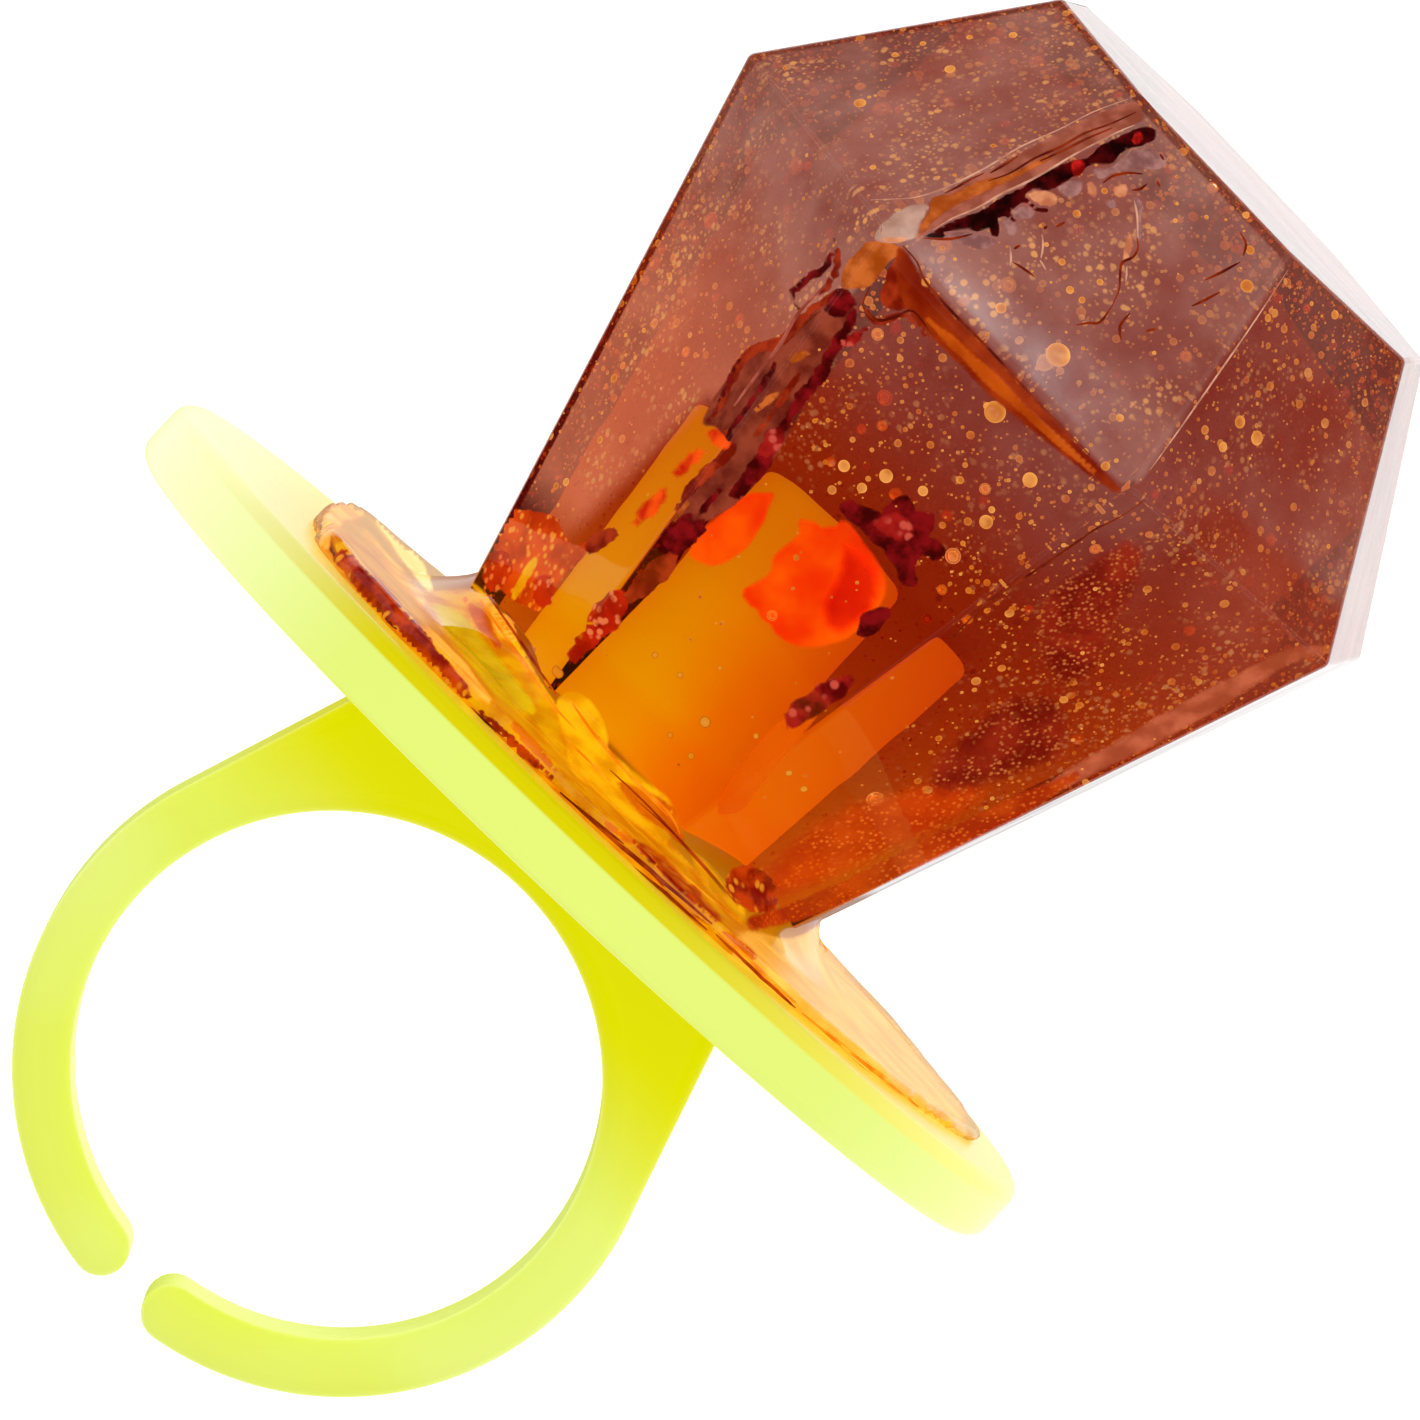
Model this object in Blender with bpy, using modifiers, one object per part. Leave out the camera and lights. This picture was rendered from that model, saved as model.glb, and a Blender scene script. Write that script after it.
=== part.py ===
"""Ring lollipop: a split finger ring with a round guard and a post, and a cut-gem boiled sweet cast on the post.

Both pieces are made standing, ring down and gem up, with z = 0 on the guard's upper face and x along the
width of the ring. They hang on one empty, which lays them down on the guard's rim and on the gem's lowest
corner edge, with the shown side up.
"""

from math import atan2, cos, hypot, pi, radians, sin

import bmesh
import bpy
from mathutils import Euler, Matrix, Vector

# Guard: the round plate between finger and sweet
GUARD_RADIUS = 0.0190
GUARD_THICKNESS = 0.00235
GUARD_EDGE = 0.00060
GUARD_SIDES = 112

# Finger ring, an oval band that is split opposite the guard
HOLE_HALF_WIDTH = 0.00885
HOLE_HALF_HEIGHT = 0.00868
BAND_THICKNESS = 0.00195
BAND_WIDTH = 0.0046
BAND_EDGE = 0.00080
HOLE_CENTRE = (-0.00012, -0.01279)  # x, z
SHOULDER_HALF_WIDTH = 0.0078
SHOULDER_ANGLE = radians(20)  # above the hole's level, where the band leaves its oval for the guard
SPLIT_ANGLE = radians(269)
SPLIT_GAP = 0.0012
RING_STEP = radians(6)

# Post inside the sweet
POST_RADIUS_FOOT = 0.0033
POST_RADIUS_TIP = 0.0030
POST_HEIGHT = 0.0132
POST_EDGE = 0.0004

# Gem: octagonal, girdle at its widest, table on top
FOOT_RADIUS = 0.00870
FOOT_HEIGHT = 0.00276
GIRDLE_RADIUS = 0.01483
GIRDLE_HEIGHT = 0.02078
TABLE_RADIUS = 0.00880
TABLE_HEIGHT = 0.02926
GEM_SIDES = 8
GEM_TURN = radians(22.5 - 8.2)
GEM_LEAN = (radians(3.85), radians(2.5))  # about x, about y
GEM_EDGE = 0.00045
WORN_EDGE = 0.00080  # the two chipped edges that meet at the front corner
SINK = 0.0004  # how deep one shape reaches into the next before they are joined

# Spill: the sweet that ran out over the guard round the gem's foot
SPILL_RADIUS = 0.0164
SPILL_THICKNESS = 0.00055
SPILL_SLOPE = 0.010  # thinner towards +x, metres per metre
SPILL_SIDES = 80
SHORT_SIDE = (radians(178), radians(33), 0.18)  # where it ran less far: direction, half width, share lost
RIPPLES = ((5, 2.0, 0.014), (9, 2.0, 0.009))  # waves round the edge, phase, share of the radius
SWEEP_RADIUS = 0.0112  # where the sweep up to the gem's foot begins
FLAT_RADIUS = 0.0133
SPILL_OVERLAP = 0.0002  # how far the sweep's top hides inside the gem's foot

CLEARANCE = 0.0003  # between the sweet and the plastic

# Lying down, on the girdle edge between these corners and on the guard's rim
LOWEST_CORNERS = (1, 2)
MOST_REST_TURN = radians(40)
REST_FLAT = 0.00015  # depth of the small flats it lies on

PLASTIC = ("neon_plastic", (0.80, 0.86, 0.03, 1.0), 0.25)
CANDY = ("amber_candy", (0.48, 0.06, 0.01, 1.0), 0.12)


def clear_scene():
    for obj in list(bpy.data.objects):
        bpy.data.objects.remove(obj, do_unlink=True)


def new_collection(name):
    collection = bpy.data.collections.new(name)
    bpy.context.scene.collection.children.link(collection)
    return collection


def new_material(name, colour, roughness):
    material = bpy.data.materials.new(name)
    material.use_nodes = True
    shader = material.node_tree.nodes["Principled BSDF"]
    shader.inputs["Base Color"].default_value = colour
    shader.inputs["Roughness"].default_value = roughness
    shader.inputs["Metallic"].default_value = 0.0
    return material


def named(obj, name, collection):
    """Gives an object its name and moves it into a collection."""
    obj.name = obj.data.name = name
    for owner in list(obj.users_collection):
        owner.objects.unlink(obj)
    collection.objects.link(obj)
    return obj


def as_cutter(obj):
    obj.hide_render = True
    obj.display_type = "WIRE"


def add_modifier(obj, kind, **settings):
    modifier = obj.modifiers.new(kind.title(), kind)
    for key, value in settings.items():
        setattr(modifier, key, value)
    return modifier


def baked(obj, collection):
    """A mesh copy of the object as its modifiers and its place leave it, instead of the object itself."""
    graph = bpy.context.evaluated_depsgraph_get()
    mesh = bpy.data.meshes.new_from_object(obj.evaluated_get(graph))
    mesh.transform(obj.matrix_world)
    solid = bpy.data.objects.new(obj.name + "_solid", mesh)
    collection.objects.link(solid)
    bpy.data.objects.remove(obj, do_unlink=True)
    return solid


def close_mesh(obj):
    """Welds a curve's loose caps to its sides and turns every face outwards."""
    bm = bmesh.new()
    bm.from_mesh(obj.data)
    bmesh.ops.remove_doubles(bm, verts=bm.verts, dist=1e-6)
    bmesh.ops.recalc_face_normals(bm, faces=bm.faces)
    bm.to_mesh(obj.data)
    bm.free()


def union(base, others, collection):
    """Joins the others onto the base and returns one solid."""
    for other in others:
        add_modifier(base, "BOOLEAN", operation="UNION", object=other)
    solid = baked(base, collection)
    for other in others:
        bpy.data.objects.remove(other, do_unlink=True)
    return solid


# Holder


def make_guard(collection):
    bpy.ops.mesh.primitive_cylinder_add(
        vertices=GUARD_SIDES, radius=GUARD_RADIUS, depth=GUARD_THICKNESS, location=(0, 0, -GUARD_THICKNESS / 2)
    )
    guard = named(bpy.context.object, "guard", collection)
    add_modifier(guard, "BEVEL", width=GUARD_EDGE, segments=3, limit_method="ANGLE", angle_limit=radians(40))
    return baked(guard, collection)


def on_oval(angle, grow):
    """A point of the band, grow metres outside the hole's oval."""
    x, z = HOLE_CENTRE
    return (x + (HOLE_HALF_WIDTH + grow) * cos(angle), z + (HOLE_HALF_HEIGHT + grow) * sin(angle))


def oval_run(start, end, grow):
    steps = max(2, round(abs(end - start) / RING_STEP))
    return [on_oval(start + (end - start) * i / steps, grow) for i in range(steps + 1)]


def shoulder_top(side):
    """Where a shoulder ends, a little inside the guard. It runs straight up from the band's outer side."""
    return (side * SHOULDER_HALF_WIDTH, SINK - GUARD_THICKNESS)


def tip_run(angle, turn):
    """The rounded end of the band at the split, from its outer side to its inner one."""
    middle = Vector(on_oval(angle, BAND_THICKNESS / 2))
    along = Vector((-sin(angle), cos(angle))) * turn
    out = Vector((cos(angle), sin(angle)))
    reach = BAND_THICKNESS / 2
    steps = 6
    return [
        tuple(middle + out * reach * cos(t) + along * reach * sin(t))
        for t in (pi * i / steps for i in range(1, steps))
    ]


def ring_outline():
    half_gap = (SPLIT_GAP + BAND_THICKNESS) / 2 / (HOLE_HALF_HEIGHT + BAND_THICKNESS / 2)
    left_leave, right_leave = pi - SHOULDER_ANGLE, 2 * pi + SHOULDER_ANGLE
    left_tip, right_tip = SPLIT_ANGLE - half_gap, SPLIT_ANGLE + half_gap
    points = [shoulder_top(-1)]
    points += oval_run(left_leave, left_tip, BAND_THICKNESS)
    points += tip_run(left_tip, 1)
    points += oval_run(left_tip, right_tip - 2 * pi, 0)
    points += reversed(tip_run(right_tip, -1))
    points += oval_run(right_tip, right_leave, BAND_THICKNESS)
    points.append(shoulder_top(1))
    return points


def make_ring(collection):
    """The band with its shoulders, as one flat outline given its width and rounded edges."""
    curve = bpy.data.curves.new("ring", "CURVE")
    curve.dimensions = "2D"
    curve.fill_mode = "BOTH"
    curve.extrude = BAND_WIDTH / 2 - BAND_EDGE
    curve.bevel_depth = BAND_EDGE
    curve.bevel_resolution = 2
    curve.offset = -BAND_EDGE
    points = ring_outline()
    spline = curve.splines.new("POLY")
    spline.points.add(len(points) - 1)
    for point, (x, z) in zip(spline.points, points):
        point.co = (x, z, 0, 1)
    spline.use_cyclic_u = True
    ring = bpy.data.objects.new("ring", curve)
    ring.rotation_euler = (pi / 2, 0, 0)
    collection.objects.link(ring)
    bpy.context.view_layer.update()
    solid = baked(ring, collection)
    close_mesh(solid)
    return solid


def make_post(collection):
    height = POST_HEIGHT + SINK
    bpy.ops.mesh.primitive_cone_add(
        vertices=40,
        radius1=POST_RADIUS_FOOT,
        radius2=POST_RADIUS_TIP,
        depth=height,
        location=(0, 0, height / 2 - SINK),
    )
    post = named(bpy.context.object, "post", collection)
    add_modifier(post, "BEVEL", width=POST_EDGE, segments=2, limit_method="ANGLE", angle_limit=radians(40))
    return baked(post, collection)


def make_holder(collection):
    guard = make_guard(collection)
    holder = union(guard, [make_ring(collection), make_post(collection)], collection)
    return named(holder, "holder", collection)


# Sweet


def gem_matrix():
    return Euler((GEM_LEAN[0], GEM_LEAN[1], 0)).to_matrix().to_4x4() @ Matrix.Rotation(GEM_TURN, 4, "Z")


def gem_corner(index, radius, height):
    """A corner of the gem in the standing frame. Corners count round from GEM_TURN, seen from above."""
    angle = index * 2 * pi / GEM_SIDES
    return gem_matrix() @ Vector((radius * cos(angle), radius * sin(angle), height))


def is_near(edge, first, second, reach=0.0005):
    return all(min((vert.co - corner).length for vert in edge.verts) < reach for corner in (first, second))


def make_gem(collection):
    """Pavilion as a cone primitive, crown extruded from its upper face, then leaned and rounded."""
    bottom = CLEARANCE + SINK
    slope = (GIRDLE_RADIUS - FOOT_RADIUS) / (GIRDLE_HEIGHT - FOOT_HEIGHT)
    bm = bmesh.new()
    bmesh.ops.create_cone(
        bm,
        cap_ends=True,
        segments=GEM_SIDES,
        radius1=FOOT_RADIUS - slope * (FOOT_HEIGHT - bottom),
        radius2=GIRDLE_RADIUS,
        depth=GIRDLE_HEIGHT - bottom,
        matrix=Matrix.Translation((0, 0, (GIRDLE_HEIGHT + bottom) / 2)),
    )
    bm.faces.ensure_lookup_table()
    top = max(bm.faces, key=lambda face: face.calc_center_median().z)
    crown = bmesh.ops.extrude_face_region(bm, geom=[top])["geom"]
    bmesh.ops.delete(bm, geom=[top], context="FACES_ONLY")
    raised = [item for item in crown if isinstance(item, bmesh.types.BMVert)]
    for vert in raised:
        vert.co.x *= TABLE_RADIUS / GIRDLE_RADIUS
        vert.co.y *= TABLE_RADIUS / GIRDLE_RADIUS
        vert.co.z = TABLE_HEIGHT
    bm.transform(gem_matrix())
    front, table, beside = (
        gem_corner(5, GIRDLE_RADIUS, GIRDLE_HEIGHT),
        gem_corner(5, TABLE_RADIUS, TABLE_HEIGHT),
        gem_corner(6, GIRDLE_RADIUS, GIRDLE_HEIGHT),
    )
    weight = bm.edges.layers.float.new("bevel_weight_edge")
    for edge in bm.edges:
        worn = is_near(edge, front, table) or is_near(edge, front, beside)
        edge[weight] = 1.0 if worn else GEM_EDGE / WORN_EDGE
    bmesh.ops.recalc_face_normals(bm, faces=bm.faces)
    mesh = bpy.data.meshes.new("gem")
    bm.to_mesh(mesh)
    bm.free()
    gem = bpy.data.objects.new("gem", mesh)
    collection.objects.link(gem)
    add_modifier(gem, "BEVEL", width=WORN_EDGE, segments=3, limit_method="WEIGHT")
    return baked(gem, collection)


def spill_reach(angle):
    """How far the spill runs in one direction, as a share of its usual radius."""
    direction, half_width, lost = SHORT_SIDE
    away = abs((angle - direction + pi) % (2 * pi) - pi)
    short = lost / (1 + (away / half_width) ** 6)
    ripples = sum(share * sin(waves * angle + phase) for waves, phase, share in RIPPLES)
    return 1 - short + ripples


def spill_profile():
    """Half section (x, z) down the outer side: a foot that sweeps up to the gem, a flat run and a round edge."""
    top = CLEARANCE + SPILL_THICKNESS
    sweep_top = FOOT_HEIGHT + SPILL_OVERLAP
    sweep_in = FOOT_RADIUS * cos(pi / GEM_SIDES) - SPILL_OVERLAP
    width, height = SWEEP_RADIUS - sweep_in, sweep_top - top
    points = [(0, sweep_top)]
    for i in range(6):
        turn = (pi / 2) * i / 5
        points.append((SWEEP_RADIUS - width * cos(turn), sweep_top - height * sin(turn)))
    points.append((FLAT_RADIUS, top))
    half = SPILL_THICKNESS / 2
    for i in range(5):
        turn = pi / 2 - pi * i / 4
        points.append((SPILL_RADIUS - half + half * cos(turn), CLEARANCE + half + half * sin(turn)))
    points.append((0, CLEARANCE))
    return points


def make_spill(collection):
    """The profile turned about the post, then pushed out of round and made thinner to one side."""
    mesh = bpy.data.meshes.new("spill")
    profile = spill_profile()
    mesh.from_pydata([(x, 0, z) for x, z in profile], [(i, i + 1) for i in range(len(profile) - 1)], [])
    spill = bpy.data.objects.new("spill", mesh)
    collection.objects.link(spill)
    add_modifier(
        spill,
        "SCREW",
        steps=SPILL_SIDES,
        render_steps=SPILL_SIDES,
        use_merge_vertices=True,
        merge_threshold=0.00001,
        use_normal_calculate=True,
    )
    solid = baked(spill, collection)
    close_mesh(solid)
    for vert in solid.data.vertices:
        radius = hypot(vert.co.x, vert.co.y)
        share = min(1.0, max(0.0, (radius - FOOT_RADIUS) / (SPILL_RADIUS - FOOT_RADIUS)))
        stretch = 1 + (spill_reach(atan2(vert.co.y, vert.co.x)) - 1) * share
        lean = 1 - SPILL_SLOPE * vert.co.x / SPILL_THICKNESS
        vert.co.x *= stretch
        vert.co.y *= stretch
        vert.co.z = CLEARANCE + (vert.co.z - CLEARANCE) * (lean if radius > FOOT_RADIUS else 1)
    return solid


def make_post_cutter(cutters):
    """The blind hole that the post fills, with the clearance all round."""
    height = POST_HEIGHT + CLEARANCE
    bpy.ops.mesh.primitive_cone_add(
        vertices=40,
        radius1=POST_RADIUS_FOOT + CLEARANCE,
        radius2=POST_RADIUS_TIP + CLEARANCE,
        depth=height,
        location=(0, 0, height / 2),
    )
    cutter = named(bpy.context.object, "post_hole", cutters)
    as_cutter(cutter)
    return cutter


def make_candy(collection, cutters):
    candy = union(make_spill(collection), [make_gem(collection)], collection)
    add_modifier(candy, "BOOLEAN", operation="DIFFERENCE", object=make_post_cutter(cutters))
    return named(baked(candy, collection), "candy", collection)


# Lying down


def lowest(piece, up):
    return min(up.dot(vert.co) for vert in piece.data.vertices)


def rest_normal(holder, candy):
    """The floor's upward normal in the standing frame.

    The floor runs level along the lowest girdle edge and touches both pieces.
    """
    left, right = (gem_corner(index, GIRDLE_RADIUS, GIRDLE_HEIGHT) for index in LOWEST_CORNERS)
    edge = (right - left).normalized()
    upright = Vector((0, -1, 0))
    first = (upright - edge * upright.dot(edge)).normalized()
    second = edge.cross(first)

    def holder_above_candy(angle):
        up = first * cos(angle) + second * sin(angle)
        return lowest(holder, up) - lowest(candy, up)

    low, high = -MOST_REST_TURN, MOST_REST_TURN
    rising = holder_above_candy(high) > holder_above_candy(low)
    for _ in range(30):
        middle = (low + high) / 2
        if (holder_above_candy(middle) > 0) == rising:
            high = middle
        else:
            low = middle
    return first * cos(low) + second * sin(low)


def lay_down(holder, candy, collection, cutters):
    """Hangs the pieces on an empty that turns them onto the floor, the gem's axis along +X, and levels the flats."""
    pieces = (holder, candy)
    normal = rest_normal(holder, candy)
    forward = Vector((0, 0, 1)) - normal * normal.z
    forward.normalize()
    turn = Matrix((forward, normal.cross(forward), normal)).to_4x4()
    lying = bpy.data.objects.new("lying", None)
    collection.objects.link(lying)
    corners = [turn @ vert.co for piece in pieces for vert in piece.data.vertices]
    lows = [min(corner[axis] for corner in corners) for axis in range(3)]
    highs = [max(corner[axis] for corner in corners) for axis in range(3)]
    shift = Vector((-(lows[0] + highs[0]) / 2, -(lows[1] + highs[1]) / 2, -lows[2] - REST_FLAT))
    lying.matrix_world = Matrix.Translation(shift) @ turn
    bpy.ops.mesh.primitive_cube_add(size=0.2, location=(0, 0, -0.1))
    floor = named(bpy.context.object, "floor", cutters)
    as_cutter(floor)
    for piece in pieces:
        piece.parent = lying
        add_modifier(piece, "BOOLEAN", operation="DIFFERENCE", object=floor)
    bpy.context.view_layer.update()


def main():
    clear_scene()
    lollipop = new_collection("ring_lollipop")
    cutters = new_collection("cutters")
    holder = make_holder(lollipop)
    candy = make_candy(lollipop, cutters)
    for piece, finish in ((holder, PLASTIC), (candy, CANDY)):
        piece.data.materials.clear()
        piece.data.materials.append(new_material(*finish))
        piece.data.shade_smooth()
        piece.data.set_sharp_from_angle(angle=radians(35))
    lay_down(holder, candy, lollipop, cutters)


main()
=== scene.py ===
# %% [markdown]
# # A ring lollipop
# A boiled sweet the shape of a cut gem, cast onto a plastic finger ring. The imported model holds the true
# sizes of both pieces and how they lie. This lesson dresses them: a smoother plastic piece, clear sugar
# with bubbles, voids and cracks in it, and the light of a small white studio.

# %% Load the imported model
from contextlib import contextmanager
from math import atan2, cos, hypot, pi, radians, sin

import bmesh
import bpy
import numpy as np
from mathutils import Euler, Matrix, Vector, noise


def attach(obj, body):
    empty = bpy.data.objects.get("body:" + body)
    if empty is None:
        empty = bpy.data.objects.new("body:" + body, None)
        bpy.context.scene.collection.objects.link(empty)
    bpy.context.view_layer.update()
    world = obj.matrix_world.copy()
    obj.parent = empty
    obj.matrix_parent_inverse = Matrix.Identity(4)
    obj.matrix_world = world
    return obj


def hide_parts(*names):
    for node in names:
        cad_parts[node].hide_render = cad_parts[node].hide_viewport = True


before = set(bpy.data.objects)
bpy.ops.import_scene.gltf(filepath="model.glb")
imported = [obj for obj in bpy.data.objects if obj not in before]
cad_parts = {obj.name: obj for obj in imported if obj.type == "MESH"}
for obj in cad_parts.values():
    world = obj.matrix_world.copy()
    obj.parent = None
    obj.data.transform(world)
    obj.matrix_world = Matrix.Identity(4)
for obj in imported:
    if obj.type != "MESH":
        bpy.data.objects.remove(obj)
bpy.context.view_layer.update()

MM = 0.001
holder_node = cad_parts["holder"]

# %% [markdown]
# ## Standing and lying
# Shapes are easiest to make standing: guard flat at z = 0, ring below it, gem above it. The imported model
# lies on its side, so each piece is modelled upright and then laid down in one move. That move could be
# typed in as angles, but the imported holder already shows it: its largest face is the guard's, and the
# largest face at right angles to that one is the ring's flat side.

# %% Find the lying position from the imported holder
SQUARE = 0.01
PARALLEL = 0.999


def largest(faces):
    return max(faces, key=lambda face: face[0])


faces = [(face.area, face.normal.copy(), face.center.copy()) for face in holder_node.data.polygons]
_, gem_way, _ = largest(faces)
_, through_ring, _ = largest(face for face in faces if abs(face[1].dot(gem_way)) < SQUARE)
if gem_way.x < 0:
    gem_way = -gem_way
if through_ring.z > 0:
    through_ring = -through_ring
across = through_ring.cross(gem_way)

corners = [vert.co for vert in holder_node.data.vertices]
reach = [corner.dot(across) for corner in corners]
guard_radius = (max(reach) - min(reach)) / 2
near_side = min(corner.dot(through_ring) for corner in corners)
_, _, on_guard = largest(face for face in faces if face[1].dot(gem_way) > PARALLEL)
centre = across * (max(reach) + min(reach)) / 2 + through_ring * (near_side + guard_radius)
centre += gem_way * on_guard.dot(gem_way)
LYING = Matrix.Translation(centre) @ Matrix((across, through_ring, gem_way)).transposed().to_4x4()
print("guard radius", round(guard_radius / MM, 2), "mm, centre", [round(v / MM, 2) for v in centre])

# %% [markdown]
# ## Shader maths as Python
# A material is a graph of small nodes. Wiring a Math node for each plus and times hides the idea, so one
# class wraps a socket and lets Python's own operators add those nodes.


# %% A socket that can be calculated with
class Socket:
    def __init__(self, tree, socket=None):
        self.tree = tree
        self.socket = socket

    def add(self, kind, settings=None, inputs=None, output=0):
        """Adds any node: its settings first, then the values or links of its sockets."""
        node = self.tree.nodes.new("ShaderNode" + kind)
        for name, value in (settings or {}).items():
            setattr(node, name, value)
        for name, value in (inputs or {}).items():
            if isinstance(value, Socket):
                self.tree.links.new(value.socket, node.inputs[name])
            else:
                node.inputs[name].default_value = value
        return Socket(self.tree, node.outputs[output])

    def math(self, operation, *others):
        return self.add("Math", {"operation": operation}, dict(enumerate((self, *others))))

    def __add__(self, other):
        return self.math("ADD", other)

    def __sub__(self, other):
        return self.math("SUBTRACT", other)

    def __rsub__(self, other):
        return self.add("Math", {"operation": "SUBTRACT"}, {0: other, 1: self})

    def __mul__(self, other):
        return self.math("MULTIPLY", other)

    def __pow__(self, other):
        return self.math("POWER", other)

    __radd__ = __add__
    __rmul__ = __mul__

    def ramp(self, low, high):
        """0 below low, 1 above high and smooth between them."""
        span = {"Value": self, "From Min": low, "From Max": high}
        return self.add("MapRange", {"interpolation_type": "SMOOTHSTEP"}, span)

    def mix(self, first, second):
        """The first colour where this is 0, the second where it is 1."""
        colours = {0: self, 6: first, 7: second}
        return self.add("Mix", {"data_type": "RGBA"}, colours, output=2)

    def dot(self, way):
        return self.add("VectorMath", {"operation": "DOT_PRODUCT"}, {0: self, 1: way}, output=1)

    def minus(self, place):
        return self.add("VectorMath", {"operation": "SUBTRACT"}, {0: self, 1: place})

    def away_from(self, place):
        """The distance from a place in metres."""
        return self.add("VectorMath", {"operation": "DISTANCE"}, {0: self, 1: place}, output=1)

    def near(self, value, reach):
        """1 where this is at the value, and 0 from the given reach on."""
        return 1 - (self - value).math("ABSOLUTE").ramp(reach * 0.4, reach)

    def grain(self, scale, detail=2.0):
        """Soft noise from 0 to 1, with this many patches a metre."""
        return self.add("TexNoise", None, {"Vector": self, "Scale": scale, "Detail": detail})

    def dots(self, scale, size):
        """Round dots, 1 inside and 0 outside: this many a metre, and sizes as a share of their spacing."""
        cells = self.add("TexVoronoi", None, {"Vector": self, "Scale": scale})
        return 1 - cells.ramp(size * 0.5, size)

    def bump(self, height):
        """A normal from this height, which is 1 at the given number of metres."""
        return self.add("Bump", None, {"Height": self, "Distance": height})

    def edge_on(self):
        """0 where the skin faces the camera and 1 where it is seen edge on."""
        return self.add("LayerWeight", None, {"Blend": 0.5}, output=1)


def new_material(name):
    """A material, its shader node, and a place socket in metres on the piece that wears it."""
    material = bpy.data.materials.new(name)
    material.use_nodes = True
    material.cycles.emission_sampling = "NONE"
    shader = material.node_tree.nodes["Principled BSDF"]
    place = Socket(material.node_tree).add("TexCoord", output=3)
    return material, shader, place


def set_shader(shader, **sockets):
    """Sets the shader's sockets by name, with _ for a space."""
    for name, value in sockets.items():
        target = shader.inputs[name.replace("_", " ")]
        if isinstance(value, Socket):
            value.tree.links.new(value.socket, target)
        else:
            target.default_value = value


print("socket maths ready")

# %% [markdown]
# ## Modelling by hand, in code
# The pieces are made as in Blender's edit mode. These helpers do what the mouse does: make one object
# active, pick faces by the way they look, stretch them up, and apply a modifier.


# %% Helpers for edit mode and modifiers
WELD = 0.001 * MM


def select_only(obj):
    bpy.ops.object.select_all(action="DESELECT")
    obj.select_set(True)
    bpy.context.view_layer.objects.active = obj


@contextmanager
def editing(obj):
    select_only(obj)
    bpy.ops.object.mode_set(mode="EDIT")
    bpy.ops.mesh.select_all(action="DESELECT")
    yield
    bpy.ops.object.mode_set(mode="OBJECT")


def pick_faces(obj, test):
    """Selects only the faces that pass the test."""
    bpy.ops.mesh.select_mode(type="FACE")
    bpy.ops.mesh.select_all(action="DESELECT")
    mesh = bmesh.from_edit_mesh(obj.data)
    for face in filter(test, mesh.faces):
        face.select_set(True)
    mesh.select_flush_mode()
    bmesh.update_edit_mesh(obj.data)


def apply_modifier(obj, kind, **settings):
    modifier = obj.modifiers.new(kind.title(), kind)
    for name, value in settings.items():
        setattr(modifier, name, value)
    select_only(obj)
    bpy.ops.object.modifier_apply(modifier=modifier.name)


def start(name):
    """Names the primitive just added and puts its place into its mesh."""
    obj = bpy.context.object
    obj.name = obj.data.name = name
    select_only(obj)
    bpy.ops.object.transform_apply()
    return obj


def stretch_up(levels):
    """Extrudes the picked face through (radius, height) levels, as a lathe hand would."""
    (radius, height), *rest = levels
    for next_radius, next_height in rest:
        bpy.ops.mesh.extrude_region_move(TRANSFORM_OT_translate={"value": (0, 0, next_height - height)})
        share = next_radius / radius
        bpy.ops.transform.resize(value=(share, share, 1), center_override=(0, 0, next_height))
        radius, height = next_radius, next_height


def weld(obj):
    with editing(obj):
        bpy.ops.mesh.select_all(action="SELECT")
        bpy.ops.mesh.remove_doubles(threshold=WELD)
        bpy.ops.mesh.normals_make_consistent(inside=False)


def join_solids(obj, *others):
    for other in others:
        apply_modifier(obj, "BOOLEAN", operation="UNION", object=other, solver="EXACT")
        bpy.data.objects.remove(other, do_unlink=True)


def lay_down(obj):
    """Turns the standing piece onto the floor and trims what would sink into it."""
    obj.data.transform(LYING)
    with editing(obj):
        bpy.ops.mesh.select_all(action="SELECT")
        bpy.ops.mesh.bisect(plane_co=(0, 0, 0), plane_no=(0, 0, 1), clear_inner=True, use_fill=True)


def smooth(obj, angle):
    select_only(obj)
    bpy.ops.object.shade_smooth_by_angle(angle=angle)
    apply_modifier(obj, "WEIGHTED_NORMAL", keep_sharp=True, weight=80)


def wear(obj, material):
    obj.data.materials.clear()
    obj.data.materials.append(material)


def faces_of(obj):
    return len(obj.data.polygons)


print("modelling helpers ready")

# %% [markdown]
# ## The studio
# A white room lights the sweet from all round, but a white room mirrored in a glossy facet would lay a grey
# veil over its deep colour. Photographers hang a black flag in each direction that a shown facet mirrors. A
# world of light can have such flags too: a set for the facets, one for the rounded edges between them, and
# one below for the spill. The floor itself stays out of mirror images, so that the last one can work.

# %% Camera at the photograph's angle
CAMERA_PLACE = Vector((0.142509, -0.042433, 0.406154))
CAMERA_TURN = Euler([radians(angle) for angle in (-11.022, 17.772, -48.943)])
CAMERA_LENS = 319.76
SENSOR = 36
CLIP_START = 0.01

bpy.ops.object.select_all(action="DESELECT")
bpy.ops.object.camera_add(location=CAMERA_PLACE, rotation=CAMERA_TURN)
camera = bpy.context.object
camera.data.sensor_width = SENSOR
camera.data.lens = CAMERA_LENS
camera.data.clip_start = CLIP_START
bpy.context.scene.camera = camera
print("camera", round(camera.location.length / MM), "mm away")

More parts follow.
